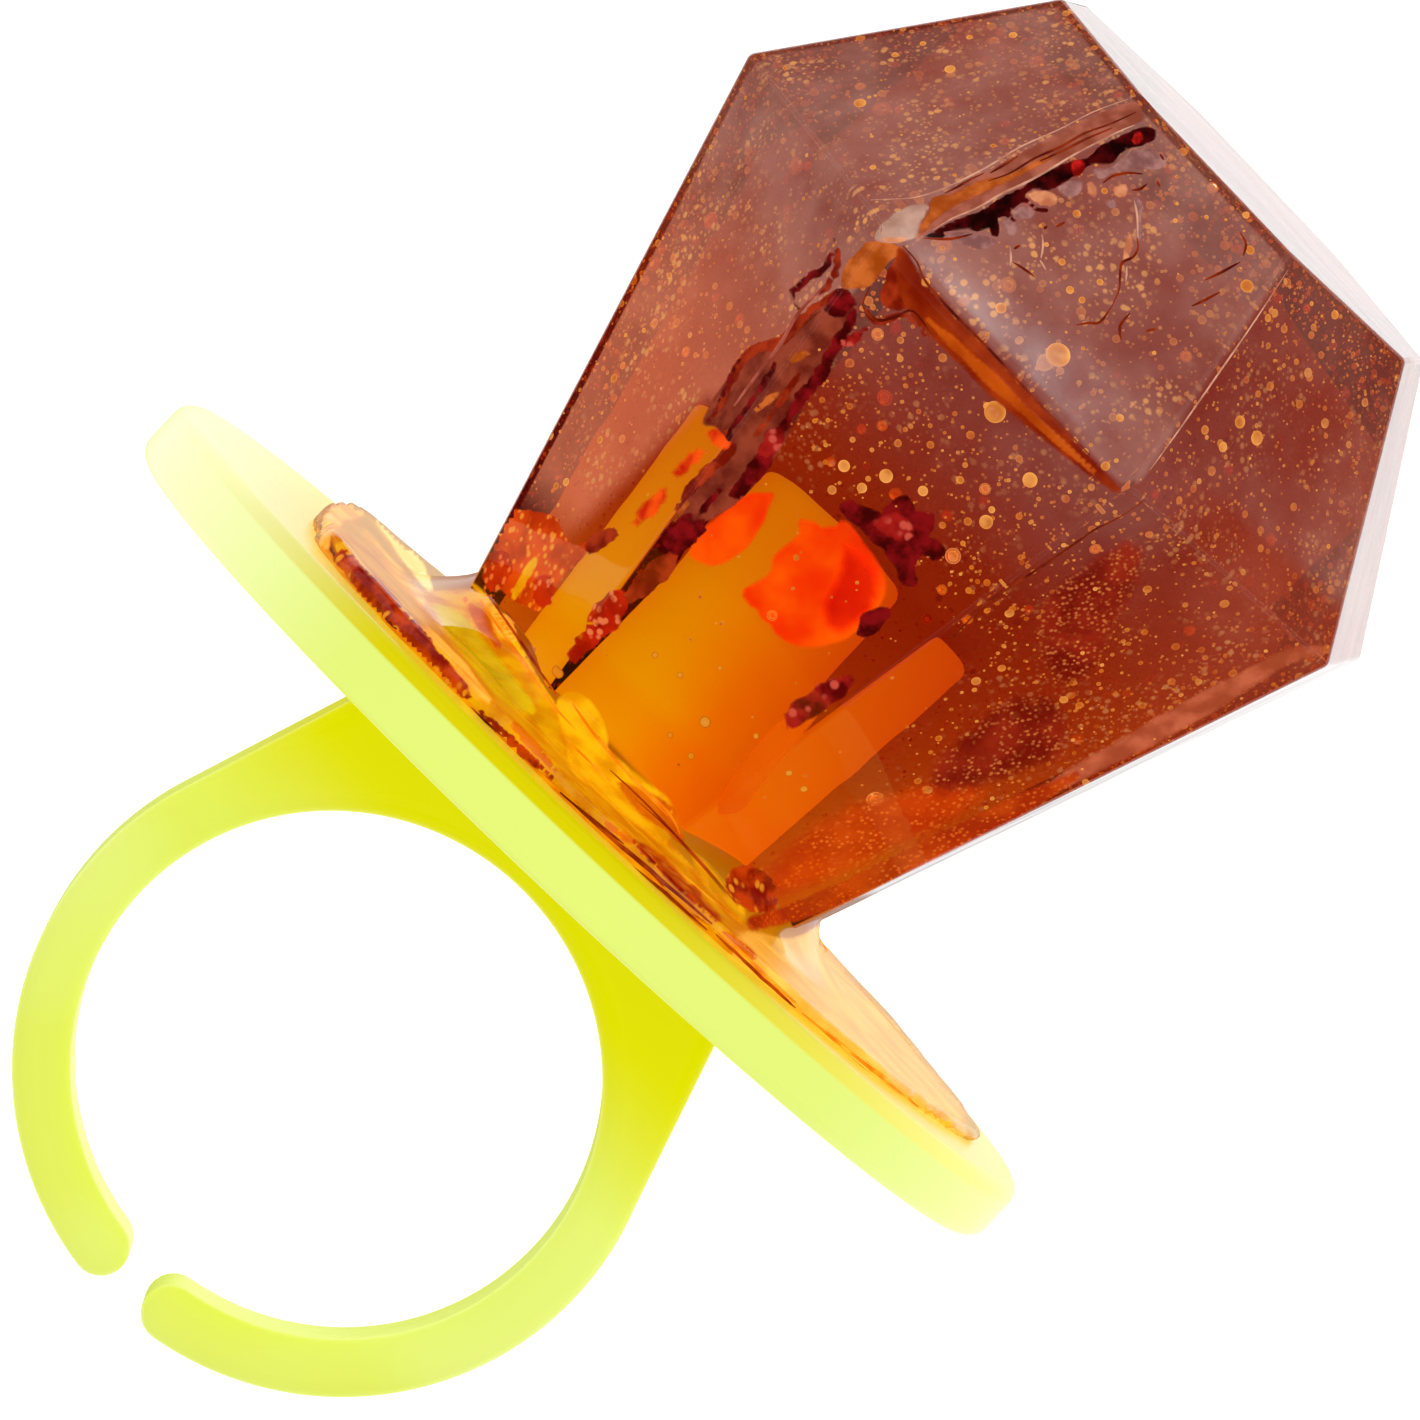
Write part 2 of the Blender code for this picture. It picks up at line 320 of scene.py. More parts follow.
# %% World
ROOM = 1.0
BELOW = 0.15
STRAIGHT_DOWN = (0.85, 0.95)
FACET_FLAGS = (
    (-0.450, 0.113, 0.886), (-0.557, -0.829, 0.051), (0.968, 0.035, 0.248),
    (-0.429, 0.896, -0.118), (0.496, 0.748, -0.441), (0.552, -0.756, -0.351),
)
EDGE_FLAGS = (
    (0.876, 0.469, -0.115), (0.13, 0.10, 0.98), (0.66, 0.08, 0.75), (-0.649, -0.462, 0.604),
    (-0.570, 0.654, 0.498), (0.039, 0.946, -0.322), (-0.003, -0.983, -0.186),
)
SPILL_FLAGS = ((-0.36, 0.25, -0.90),)
# Each set has the angles in degrees at which its flags are whole and at which they end, and their darkness.
FLAG_SETS = ((FACET_FLAGS, 12, 19, 0.95), (EDGE_FLAGS, 11, 20, 0.8), (SPILL_FLAGS, 8, 14.2, 0.92))
BOUNCES = 7
GLOSSY_BOUNCES = 3
DIFFUSE_BOUNCES = 1

scene = bpy.context.scene
scene.view_settings.view_transform = "Standard"
scene.cycles.max_bounces = BOUNCES
scene.cycles.transmission_bounces = BOUNCES
scene.cycles.glossy_bounces = GLOSSY_BOUNCES
scene.cycles.diffuse_bounces = DIFFUSE_BOUNCES
world = bpy.data.worlds.new("studio")
scene.world = world
world.use_nodes = True
world.cycles.sampling_method = "NONE"
backdrop = world.node_tree.nodes["Background"]
way = Socket(world.node_tree).add("TexCoord", output=0)
light = ROOM + way.dot((0.0, 0.0, -1.0)).ramp(*STRAIGHT_DOWN) * BELOW
for flags, inner, outer, shade in FLAG_SETS:
    for flag in flags:
        nearness = way.dot(tuple(Vector(flag).normalized()))
        light = light * (1 - shade * nearness.ramp(cos(radians(outer)), cos(radians(inner))))
world.node_tree.links.new(light.socket, backdrop.inputs["Strength"])
backdrop.inputs["Color"].default_value = (1, 1, 1, 1)
print("flags", len(FACET_FLAGS + EDGE_FLAGS + SPILL_FLAGS))

# %% Floor
FLOOR_HALF = 0.6
FLOOR_DROP = 0.02 * MM
FLOOR_MIDDLE = (-5.6 * MM, 1.2 * MM, 0)
LIT_TO = 70 * MM
DIM_FROM = 110 * MM
GLOW = 0.9
DIM = (0.15, 0.15, 0.15, 1)

bpy.ops.object.select_all(action="DESELECT")
bpy.ops.mesh.primitive_plane_add(size=2 * FLOOR_HALF, location=(0, 0, -FLOOR_DROP))
floor = start("floor")
paper, shader, place = new_material("paper")
falloff = place.away_from(FLOOR_MIDDLE).ramp(LIT_TO, DIM_FROM)
set_shader(
    shader,
    Base_Color=falloff.mix((0.5, 0.5, 0.5, 1), DIM),
    Roughness=0.85,
    Normal=place.grain(9000, 3).bump(0.01 * MM),
    Emission_Color=falloff.mix((1, 1, 1, 1), DIM),
    Emission_Strength=GLOW,
)
wear(floor, paper)
floor.visible_glossy = False
print("floor", 2 * FLOOR_HALF, "m wide")

# %% [markdown]
# ## The plastic piece
# Ring, guard and post are moulded in one. A mould maker would draw the ring's outline and give it a width,
# turn the guard and the post, and blend them. Here the outline is a flat curve with a soft bevel, and the
# turned parts are cylinders with rounded edges. A Boolean makes them one skin.

# %% Guard and post
GUARD_THICKNESS = 2.35 * MM
GUARD_EDGE = 0.6 * MM
POST_HEIGHT = 13.2 * MM
POST_RADIUS_FOOT = 3.3 * MM
POST_RADIUS_TIP = 3.0 * MM
POST_EDGE = 0.4 * MM
SINK = 0.4 * MM
GUARD_SIDES = 224
POST_SIDES = 96

bpy.ops.mesh.primitive_cylinder_add(
    vertices=GUARD_SIDES, radius=guard_radius, depth=GUARD_THICKNESS, location=(0, 0, -GUARD_THICKNESS / 2)
)
holder = start("holder_plastic")
apply_modifier(holder, "BEVEL", width=GUARD_EDGE, segments=5, limit_method="ANGLE")

bpy.ops.mesh.primitive_cone_add(
    vertices=POST_SIDES,
    radius1=POST_RADIUS_FOOT,
    radius2=POST_RADIUS_TIP,
    depth=POST_HEIGHT + SINK,
    location=(0, 0, (POST_HEIGHT - SINK) / 2),
)
post = start("post")
apply_modifier(post, "BEVEL", width=POST_EDGE, segments=4, limit_method="ANGLE")
print("guard", faces_of(holder), "faces, post", faces_of(post))

# %% Outline of the ring
HOLE_HALF_WIDTH = 8.85 * MM
HOLE_HALF_HEIGHT = 8.68 * MM
HOLE_CENTRE = (-0.12 * MM, -12.79 * MM)
BAND_THICKNESS = 1.95 * MM
BAND_WIDTH = 4.6 * MM
BAND_EDGE = 0.8 * MM
SHOULDER_HALF_WIDTH = 7.8 * MM
SHOULDER_ANGLE = radians(20)
SPLIT_ANGLE = radians(269)
SPLIT_GAP = 1.2 * MM
RING_STEP = radians(2.5)
TIP_STEPS = 12


def on_oval(angle, grow):
    x, z = HOLE_CENTRE
    return (x + (HOLE_HALF_WIDTH + grow) * cos(angle), z + (HOLE_HALF_HEIGHT + grow) * sin(angle))


def oval_run(begin, end, grow):
    steps = max(2, round(abs(end - begin) / RING_STEP))
    return [on_oval(begin + (end - begin) * i / steps, grow) for i in range(steps + 1)]


def band_tip(angle, turn):
    """The half round end of the band, from its outer side to its inner one."""
    half = BAND_THICKNESS / 2
    middle = Vector(on_oval(angle, half))
    along = Vector((-sin(angle), cos(angle))) * turn
    out = Vector((cos(angle), sin(angle)))
    bends = (pi * i / TIP_STEPS for i in range(1, TIP_STEPS))
    return [tuple(middle + (out * cos(bend) + along * sin(bend)) * half) for bend in bends]


half_gap = (SPLIT_GAP + BAND_THICKNESS) / 2 / (HOLE_HALF_HEIGHT + BAND_THICKNESS / 2)
left_tip, right_tip = SPLIT_ANGLE - half_gap, SPLIT_ANGLE + half_gap
outline = [(-SHOULDER_HALF_WIDTH, SINK - GUARD_THICKNESS)]
outline += oval_run(pi - SHOULDER_ANGLE, left_tip, BAND_THICKNESS)
outline += band_tip(left_tip, 1)
outline += oval_run(left_tip, right_tip - 2 * pi, 0)
outline += reversed(band_tip(right_tip, -1))
outline += oval_run(right_tip, 2 * pi + SHOULDER_ANGLE, BAND_THICKNESS)
outline.append((SHOULDER_HALF_WIDTH, SINK - GUARD_THICKNESS))
print("outline of", len(outline), "points")

# %% Ring from the outline
HOLDER_SHARP_FROM = radians(32)

curve = bpy.data.curves.new("ring", "CURVE")
curve.dimensions = "2D"
curve.fill_mode = "BOTH"
curve.extrude = BAND_WIDTH / 2 - BAND_EDGE
curve.bevel_depth = BAND_EDGE
curve.bevel_resolution = 4
curve.offset = -BAND_EDGE
spline = curve.splines.new("POLY")
spline.points.add(len(outline) - 1)
for point, (x, z) in zip(spline.points, outline):
    point.co = (x, z, 0, 1)
spline.use_cyclic_u = True
ring = bpy.data.objects.new("ring", curve)
ring.rotation_euler = (pi / 2, 0, 0)
scene.collection.objects.link(ring)
select_only(ring)
bpy.ops.object.convert(target="MESH")
bpy.ops.object.transform_apply()
weld(ring)
join_solids(holder, ring, post)
lay_down(holder)
smooth(holder, HOLDER_SHARP_FROM)
print("plastic piece", faces_of(holder), "faces")

# %% [markdown]
# ## The sweet
# The gem is cast in an eight-sided mould, so it starts as an eight-sided cone, its crown is extruded from
# the top face, and every edge is rounded. Two edges are worn wider. The sugar that ran out over the guard
# is a disc raised step by step to the gem's foot and then pushed out of round.

# %% Gem
FOOT_RADIUS = 8.7 * MM
FOOT_HEIGHT = 2.76 * MM
GIRDLE_RADIUS = 14.83 * MM
GIRDLE_HEIGHT = 20.78 * MM
TABLE_RADIUS = 8.8 * MM
TABLE_HEIGHT = 29.26 * MM
GEM_SIDES = 8
GEM_TURN = radians(22.5 - 8.2)
GEM_LEAN = (radians(3.85), radians(2.5), 0)
GEM_EDGE = 0.14 * MM
WORN_EDGE = 0.85 * MM
BOTTOM = 0.2 * MM

slope = (GIRDLE_RADIUS - FOOT_RADIUS) / (GIRDLE_HEIGHT - FOOT_HEIGHT)
bpy.ops.mesh.primitive_cone_add(
    vertices=GEM_SIDES,
    radius1=FOOT_RADIUS - slope * (FOOT_HEIGHT - BOTTOM),
    radius2=GIRDLE_RADIUS,
    depth=GIRDLE_HEIGHT - BOTTOM,
    location=(0, 0, (GIRDLE_HEIGHT + BOTTOM) / 2),
    rotation=(0, 0, GEM_TURN - pi / 2),
)
sweet = start("sweet")
with editing(sweet):
    pick_faces(sweet, lambda face: face.normal.z > 0.9)
    stretch_up([(GIRDLE_RADIUS, GIRDLE_HEIGHT), (TABLE_RADIUS, TABLE_HEIGHT)])
sweet.rotation_euler = GEM_LEAN
select_only(sweet)
bpy.ops.object.transform_apply()

GEM_PLACE = Euler(GEM_LEAN).to_matrix().to_4x4() @ Matrix.Rotation(GEM_TURN, 4, "Z")


def gem_corner(index, radius, height):
    angle = index * 2 * pi / GEM_SIDES
    return GEM_PLACE @ Vector((radius * cos(angle), radius * sin(angle), height))


girdle = [gem_corner(i, GIRDLE_RADIUS, GIRDLE_HEIGHT) for i in range(GEM_SIDES)]
table = [gem_corner(i, TABLE_RADIUS, TABLE_HEIGHT) for i in range(GEM_SIDES)]
WORN_EDGES = ((girdle[5], table[5]), (girdle[5], girdle[6]))
weights = sweet.data.attributes.new("bevel_weight_edge", "FLOAT", "EDGE")
for edge in sweet.data.edges:
    ends = [sweet.data.vertices[i].co for i in edge.vertices]
    worn = any(all(min((end - tip).length for end in ends) < MM for tip in tips) for tips in WORN_EDGES)
    weights.data[edge.index].value = 1.0 if worn else GEM_EDGE / WORN_EDGE
apply_modifier(sweet, "BEVEL", width=WORN_EDGE, segments=5, limit_method="WEIGHT")
print("gem", faces_of(sweet), "faces")

# %% Spill over the guard
SPILL_RADIUS = 16.4 * MM
SPILL_THICKNESS = 0.62 * MM
SPILL_SLOPE = 0.012
SHORT_SIDE = (radians(178), radians(33), 0.18)
RIPPLES = ((5, 2.0, 0.014), (9, 2.0, 0.009))
SWEEP_RADIUS = 11.2 * MM
OVERLAP = 0.2 * MM
UNDER = -0.05 * MM
TOP_RINGS = 14
SWEEP_RINGS = 12
SPILL_SIDES = 288
LUMPS = ((700, 0.012), (1300, 0.009))
WAVE_HEIGHT = 0.05 * MM
WAVES_A_METRE = 250
SWEET_SHARP_FROM = radians(30)


def spill_reach(angle):
    """How far the spill runs in one direction, as a share of its usual radius."""
    direction, half_width, lost = SHORT_SIDE
    away = abs((angle - direction + pi) % (2 * pi) - pi)
    short = lost / (1 + (away / half_width) ** 6)
    return 1 - short + sum(share * sin(waves * angle + phase) for waves, phase, share in RIPPLES)


half = SPILL_THICKNESS / 2
brim = SPILL_RADIUS - half
levels = [(brim, UNDER)]
levels += [(brim + half * cos(t), half + half * sin(t)) for t in (pi * i / 8 for i in range(-3, 5))]
levels += [(brim + (SWEEP_RADIUS - brim) * i / TOP_RINGS, SPILL_THICKNESS) for i in range(1, TOP_RINGS)]
sweep_in, sweep_top = FOOT_RADIUS * cos(pi / GEM_SIDES) - OVERLAP, FOOT_HEIGHT + OVERLAP
for i in range(SWEEP_RINGS, -1, -1):
    turn = (pi / 2) * i / SWEEP_RINGS
    width, rise = SWEEP_RADIUS - sweep_in, sweep_top - SPILL_THICKNESS
    levels.append((SWEEP_RADIUS - width * cos(turn), sweep_top - rise * sin(turn)))

bpy.ops.mesh.primitive_circle_add(
    vertices=SPILL_SIDES, radius=levels[0][0], fill_type="NGON", location=(0, 0, UNDER)
)
spill = start("spill")
with editing(spill):
    bpy.ops.mesh.select_all(action="SELECT")
    bpy.ops.mesh.duplicate()
    stretch_up(levels)
weld(spill)
for vert in spill.data.vertices:
    radius, angle = hypot(vert.co.x, vert.co.y), atan2(vert.co.y, vert.co.x)
    share = min(1.0, max(0.0, (radius - FOOT_RADIUS) / (SPILL_RADIUS - FOOT_RADIUS)))
    lumps = sum(noise.noise(vert.co * a_metre) * size for a_metre, size in LUMPS) * share
    stretch = 1 + (spill_reach(angle) - 1) * share + lumps
    if vert.co.z > half and radius > sweep_in + OVERLAP:
        vert.co.z *= 1 - SPILL_SLOPE * vert.co.x / SPILL_THICKNESS
        vert.co.z += noise.noise(vert.co * WAVES_A_METRE) * WAVE_HEIGHT
    vert.co.x *= stretch
    vert.co.y *= stretch
join_solids(sweet, spill)
lay_down(sweet)
smooth(sweet, SWEET_SHARP_FROM)
print("sweet", faces_of(sweet), "faces")

# %% [markdown]
# ## Looking into the sweet
# Voids and cracks are seen through a clear skin that bends the view. To put one where it shows, a line of
# sight runs from the camera through a spot of the picture, meets the skin, bends by Snell's law and goes on
# to the wanted depth.

# %% Lines of sight
PICTURE = 1420
SUGAR_IOR = 1.5
bpy.context.view_layer.update()


def look(spot, depth):
    """The place that shows at this spot of the picture, so deep under the skin, or None beside the sugar."""
    focal = CAMERA_LENS / SENSOR * PICTURE
    aim = Vector((spot[0] - PICTURE / 2, PICTURE / 2 - spot[1], -focal))
    way = CAMERA_TURN.to_matrix() @ aim.normalized()
    hit, place, normal, _ = sweet.ray_cast(CAMERA_PLACE, way)
    if not hit:
        return None
    slant = -way.dot(normal)
    straight = (1 - (1 - slant**2) / SUGAR_IOR**2) ** 0.5
    return place + (way / SUGAR_IOR + normal * (slant / SUGAR_IOR - straight)) * depth


print("line of sight through the front facet", [round(v / MM, 1) for v in look((900, 600), 0)])

# %% [markdown]
# ## Neon plastic
# Bright dye makes the plastic glow: light enters everywhere and leaves at the edges. That glow is painted
# light, since the colour is also emitted: weakly outside the sugar and fully on the post inside it. The
# shoulders are deep yellow next to the guard, which is painted shade from the guard above them, and thin or
# narrow places are pale green-yellow. The guard's side is a lighter green and palest at its far ends, which
# is painted light. Inside the sweet the post shines yellow on its left and orange on its right, and the
# sugar over it deepens both.

# %% Neon plastic
RING_COLOUR = (0.67, 0.75, 0.10, 1)
RING_PALE = (0.69, 0.78, 0.17, 1)
SHADED_COLOUR = (0.67, 0.65, 0.0, 1)
LIT_RIM_COLOUR = (0.70, 0.82, 0.17, 1)
OLIVE_COLOUR = (0.66, 0.58, 0.0, 1)
OLIVE_PALE = (0.80, 0.74, 0.10, 1)
FACE_COLOUR = (0.76, 0.58, 0.02, 1)
LIT_END_COLOUR = (0.92, 0.96, 0.55, 1)
POST_LEFT = (0.63, 0.55, 0.0, 1)
POST_RIGHT = (0.65, 0.26, 0.0, 1)
STRENGTH = 1.5
SELF_LIGHT = 0.29
SHADE_BY_GUARD = (-10.3 * MM, -4.8 * MM)
LEANING = 0.06
RIM_SOFT = 0.2 * MM
OLIVE_TURNS = (1 * MM, 14 * MM)
LEFT_END = (-18.5 * MM, -9 * MM)
RIGHT_END = (9 * MM, 18 * MM)
POST_TURNS = (-2.6 * MM, 2.4 * MM)

neon, shader, place = new_material("neon_plastic")
standing = place.minus(tuple(centre))
height = standing.dot(tuple(gem_way))
side = standing.dot(tuple(across))
# Painted shade: the shoulders turn deep yellow towards the guard above them, along an edge that leans across
# the piece.
guard_shade = (height + side * LEANING).ramp(*SHADE_BY_GUARD)
rim = height.ramp(-GUARD_THICKNESS - RIM_SOFT, -GUARD_THICKNESS + RIM_SOFT)
top_edge = height.ramp(-GUARD_EDGE, -GUARD_EDGE + 0.1 * MM)
top_face = height.ramp(-0.03 * MM, -0.005 * MM)
in_sugar = height.ramp(0.1 * MM, 0.5 * MM)
patches = place.grain(110, 1).ramp(0.35, 0.65)
colour = guard_shade.mix(patches.mix(RING_COLOUR, RING_PALE), SHADED_COLOUR)
# Painted light: the guard's side is a lighter green, as if lit by the bright room.
colour = rim.mix(colour, LIT_RIM_COLOUR)
colour = top_edge.mix(colour, side.ramp(*OLIVE_TURNS).mix(OLIVE_COLOUR, OLIVE_PALE))
colour = top_face.mix(colour, FACE_COLOUR)
# Painted highlights: the guard's side turns pale towards its far left and right ends.
ends = (1 - side.ramp(*LEFT_END)) * 0.85 + side.ramp(*RIGHT_END) * 0.3
colour = (ends * rim).mix(colour, LIT_END_COLOUR)
sideways = side + (place.grain(300, 2) - 0.5) * 2 * MM
colour = in_sugar.mix(colour, sideways.ramp(*POST_TURNS).mix(POST_LEFT, POST_RIGHT))
# Painted light: the plastic emits its own colour, weakly outside the sugar and fully on the post inside it.
glow = SELF_LIGHT + in_sugar * (1 - SELF_LIGHT)
set_shader(
    shader,
    Base_Color=colour,
    Roughness=0.2 + place.grain(2500) * 0.1,
    IOR=1.49,
    Specular_IOR_Level=0.06,
    Normal=place.grain(900, 2).bump(0.02 * MM),
    Emission_Color=glow.mix((0, 0, 0, 1), colour),
    Emission_Strength=STRENGTH,
)
wear(holder, neon)
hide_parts("holder")
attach(holder, "root")
print("neon plastic on", holder.name)

# %% [markdown]
# ## Clear sugar
# Boiled sugar is a glass. Its colour isn't on its surface but in its depth: a thin spill is pale amber and
# the thick gem is dark red. So the surface is clear, and the volume absorbs blue first, then green, then
# red. On one facet a lavender veil lies along the worn edge: a painted reflection, emitted and broken up by
# noise.


# %% Facets as planes
def off_facet(place, corners):
    """How far a place is outside the facet through three of the gem's corners."""
    first, second, third = corners
    out = (second - first).cross(third - first).normalized()
    if out.dot(first - gem_middle) < 0:
        out = -out
    return place.minus(tuple(first)).dot(tuple(out))


gem_middle = LYING @ GEM_PLACE @ Vector((0, 0, GIRDLE_HEIGHT / 2))
foot = [gem_corner(i, FOOT_RADIUS, FOOT_HEIGHT) for i in range(GEM_SIDES)]
LEFT_PAVILION = [LYING @ corner for corner in (girdle[4], girdle[5], foot[5])]
LEFT_CROWN = [LYING @ corner for corner in (girdle[4], girdle[5], table[5])]
FRONT_CROWN = [LYING @ corner for corner in (girdle[5], girdle[6], table[6])]
print("gem's middle", [round(v / MM, 1) for v in gem_middle])

# %% Clear amber sugar
ABSORB_PER_METRE = 500
ABSORB_COLOUR = (0.88, 0.62, 0.0)
VEIL_REFLECTION = (0.145, 0.175, 0.18, 1)
SPILL_TINT = (1.0, 0.72, 0.13, 1)
FOOT_OF_GEM = (3.2 * MM, 4.2 * MM)
VEIL_WIDTH = (0.3 * MM, 2.4 * MM)
VEIL_LENGTH = 4.8 * MM
VEIL_DEPTH = 0.2 * MM

sugar, shader, place = new_material("amber_sugar")
height = place.minus(tuple(centre)).dot(tuple(gem_way))
gem_part = height.ramp(*FOOT_OF_GEM)
edge_begin, edge_end, facet_top = FRONT_CROWN
from_edge = place.minus(tuple((edge_begin + edge_end) / 2))
up_facet = from_edge.dot(tuple((facet_top - edge_end).normalized()))
along_edge = from_edge.dot(tuple((edge_end - edge_begin).normalized()))
beside_edge = (1 - up_facet.ramp(*VEIL_WIDTH)) * (1 - along_edge.ramp(0, VEIL_LENGTH))
# Painted reflection: an emitted lavender veil just under the front crown facet, along its worn edge.
veil_breakup = 0.45 + 0.55 * place.grain(700, 3).ramp(0.30, 0.65)
painted_veil = off_facet(place, FRONT_CROWN).near(0, VEIL_DEPTH) * beside_edge * veil_breakup
flat_view = place.edge_on().ramp(0.75, 0.92)
set_shader(
    shader,
    Base_Color=gem_part.mix(SPILL_TINT, (1, 1, 1, 1)),
    Roughness=0.03 + (1 - gem_part) * flat_view * 0.35,
    IOR=SUGAR_IOR,
    Transmission_Weight=1.0,
    Specular_Tint=(0.35, 0.35, 0.35, 1),
    Normal=place.grain(260, 2).bump(0.05 * MM),
    Emission_Color=painted_veil.mix((0, 0, 0, 1), VEIL_REFLECTION),
    Emission_Strength=1.0,
)
absorbing = {"Color": (*ABSORB_COLOUR, 1), "Density": ABSORB_PER_METRE}
depth_colour = place.add("VolumeAbsorption", None, absorbing)
output = sugar.node_tree.nodes["Material Output"]
sugar.node_tree.links.new(depth_colour.socket, output.inputs["Volume"])
wear(sweet, sugar)
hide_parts("candy")
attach(sweet, "root")
print("sugar absorbs", ABSORB_PER_METRE, "a metre")

# %% [markdown]
# ## Cloud of fine air
# Air too fine to model turns the outer sugar milky: mauve-brown with soft paler specks on the upper facets,
# rosy low on the left one, and nearly clear in front of the post. It could be a scattering volume, but that
# is slow and hides the voids. So it is a thin shell just under the skin, an inset copy of the gem's shape,
# that is only partly opaque. Each level is set in by more or less than the depth, as its facets slant. The
# shell's colour is emitted, painted light in place of the light the fine air scatters, and its paler specks
# are painted glints.

# %% Shape of the cloud
CLOUD_DEPTH = 0.45 * MM
CLOUD_FOOT = 4.5 * MM
INSET_FOOT = 1.13 * CLOUD_DEPTH
INSET_GIRDLE = 1.19 * CLOUD_DEPTH
INSET_TABLE = 0.58 * CLOUD_DEPTH
CLOUD_EDGE = 0.3 * MM


def add_to_sweet(obj, material):
    wear(obj, material)
    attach(obj, "root")
    print(obj.name, faces_of(obj), "faces")


cloud_girdle = GIRDLE_RADIUS - INSET_GIRDLE
cloud_top = TABLE_HEIGHT - CLOUD_DEPTH
cloud_foot = FOOT_RADIUS + slope * (CLOUD_FOOT - FOOT_HEIGHT) - INSET_FOOT
bpy.ops.object.select_all(action="DESELECT")
bpy.ops.mesh.primitive_cone_add(
    vertices=GEM_SIDES,
    radius1=cloud_foot,
    radius2=cloud_girdle,
    depth=GIRDLE_HEIGHT - CLOUD_FOOT,
    location=(0, 0, (GIRDLE_HEIGHT + CLOUD_FOOT) / 2),
    rotation=(0, 0, GEM_TURN - pi / 2),
)
cloud = start("cloud_of_air")
with editing(cloud):
    pick_faces(cloud, lambda face: face.normal.z > 0.9)
    stretch_up([(cloud_girdle, GIRDLE_HEIGHT), (TABLE_RADIUS - INSET_TABLE, cloud_top)])
    pick_faces(cloud, lambda face: face.normal.z < -0.9)
    bpy.ops.mesh.delete(type="FACE")
cloud.rotation_euler = GEM_LEAN
select_only(cloud)
bpy.ops.object.transform_apply()
apply_modifier(cloud, "BEVEL", width=CLOUD_EDGE, segments=3, limit_method="ANGLE")
cloud.data.transform(LYING)
print("cloud of air", faces_of(cloud), "faces")

# %% Cloud of air
AIR_DEEP = (0.30, 0.116, 0.106, 1)
AIR_LIGHT = (0.43, 0.212, 0.195, 1)
AIR_ROSY = (0.98, 0.31, 0.19, 1)
AIR_WARM = (0.41, 0.042, 0.004, 1)
AIR_GLINT = (0.78, 0.36, 0.14, 1)
THIN_CLOUD = 0.30
THICK_CLOUD = 0.66
CLOUD_STARTS = (4.8 * MM, 7.0 * MM)
CLOUD_GROWS = (8 * MM, 18 * MM)
RIGHT_FACET = (7 * MM, 12 * MM)
POST_LEFT_SIDE = (-7.2 * MM, -6.4 * MM)
POST_RIGHT_SIDE = (4.0 * MM, 5.5 * MM)
POST_TOP = (11.8 * MM, 12.8 * MM)
POST_FRONT = (-3 * MM, -2 * MM)
ROSY_TO = (10 * MM, 20 * MM)
WARM_TO = (13 * MM, 19 * MM)
LOW_RIGHT = (5 * MM, 8 * MM)
UNDER_GIRDLE = (20.8 * MM, 21.6 * MM)
FACET_REACH = 0.2 * MM

air_cloud, shader, place = new_material("air_cloud")
standing = place.minus(tuple(centre))
side, back, height = (standing.dot(tuple(way)) for way in (across, through_ring, gem_way))
over_post = side.ramp(*POST_LEFT_SIDE) * (1 - side.ramp(*POST_RIGHT_SIDE))
over_post = over_post * (1 - height.ramp(*POST_TOP)) * (1 - back.ramp(*POST_FRONT))
left_crown, front_crown, leftward = (
    off_facet(place, facet).near(-CLOUD_DEPTH, FACET_REACH)
    for facet in (LEFT_CROWN, FRONT_CROWN, LEFT_PAVILION)
)
milky = (left_crown + front_crown + leftward).math("MINIMUM", 1.0)
patchy = (place.grain(200, 3) + place.grain(900, 2) * 0.4).ramp(0.45, 0.95)
specks = (place.dots(2300, 0.34) + place.dots(4300, 0.34) * 0.7).math("MINIMUM", 1.0)
crowd = place.grain(420, 2).ramp(0.42, 0.66)
# Painted glints: the paler specks are bright spots set into the emitted colour.
bright = specks * crowd * (0.6 + 0.4 * milky)
thin = THIN_CLOUD * (0.12 + 0.88 * height.ramp(*CLOUD_GROWS)) + side.ramp(*RIGHT_FACET) * 0.32
density = thin + (THICK_CLOUD - THIN_CLOUD) * milky
alpha = density * (0.75 + 0.35 * patchy) + bright * 0.4
alpha = (alpha * (1 - over_post) * height.ramp(*CLOUD_STARTS)).math("MINIMUM", 0.92)
low_left = leftward * (1 - height.ramp(*ROSY_TO))
mauve = low_left.mix(patchy.mix(AIR_DEEP, AIR_LIGHT), AIR_ROSY)
low_right = side.ramp(*LOW_RIGHT) * (1 - height.ramp(*UNDER_GIRDLE))
warm = (1 - milky) * (1 - height.ramp(*WARM_TO) * (0.85 - low_right * 0.55))
colour = bright.mix(warm.mix(mauve, AIR_WARM), AIR_GLINT)
# Painted light: all of the cloud's colour is emitted, in place of the light that the fine air would scatter.
set_shader(
    shader,
    Base_Color=(0.10, 0.03, 0.02, 1),
    Roughness=0.6,
    Specular_IOR_Level=0.0,
    Alpha=alpha,
    Emission_Color=colour,
    Emission_Strength=1.0,
)
add_to_sweet(cloud, air_cloud)

# %% [markdown]
# ## Bubbles
# Air beaten into the hot sugar leaves thousands of bubbles. Each bends light from all round, so a small one
# shows as a bright orange speck and a large one as a bright ring. One small ball is modelled and copied
# into one mesh, with few faces because it is tiny. The small ones are strewn near the skin, where they
# show, with few in front of the post. The largest are set one by one.

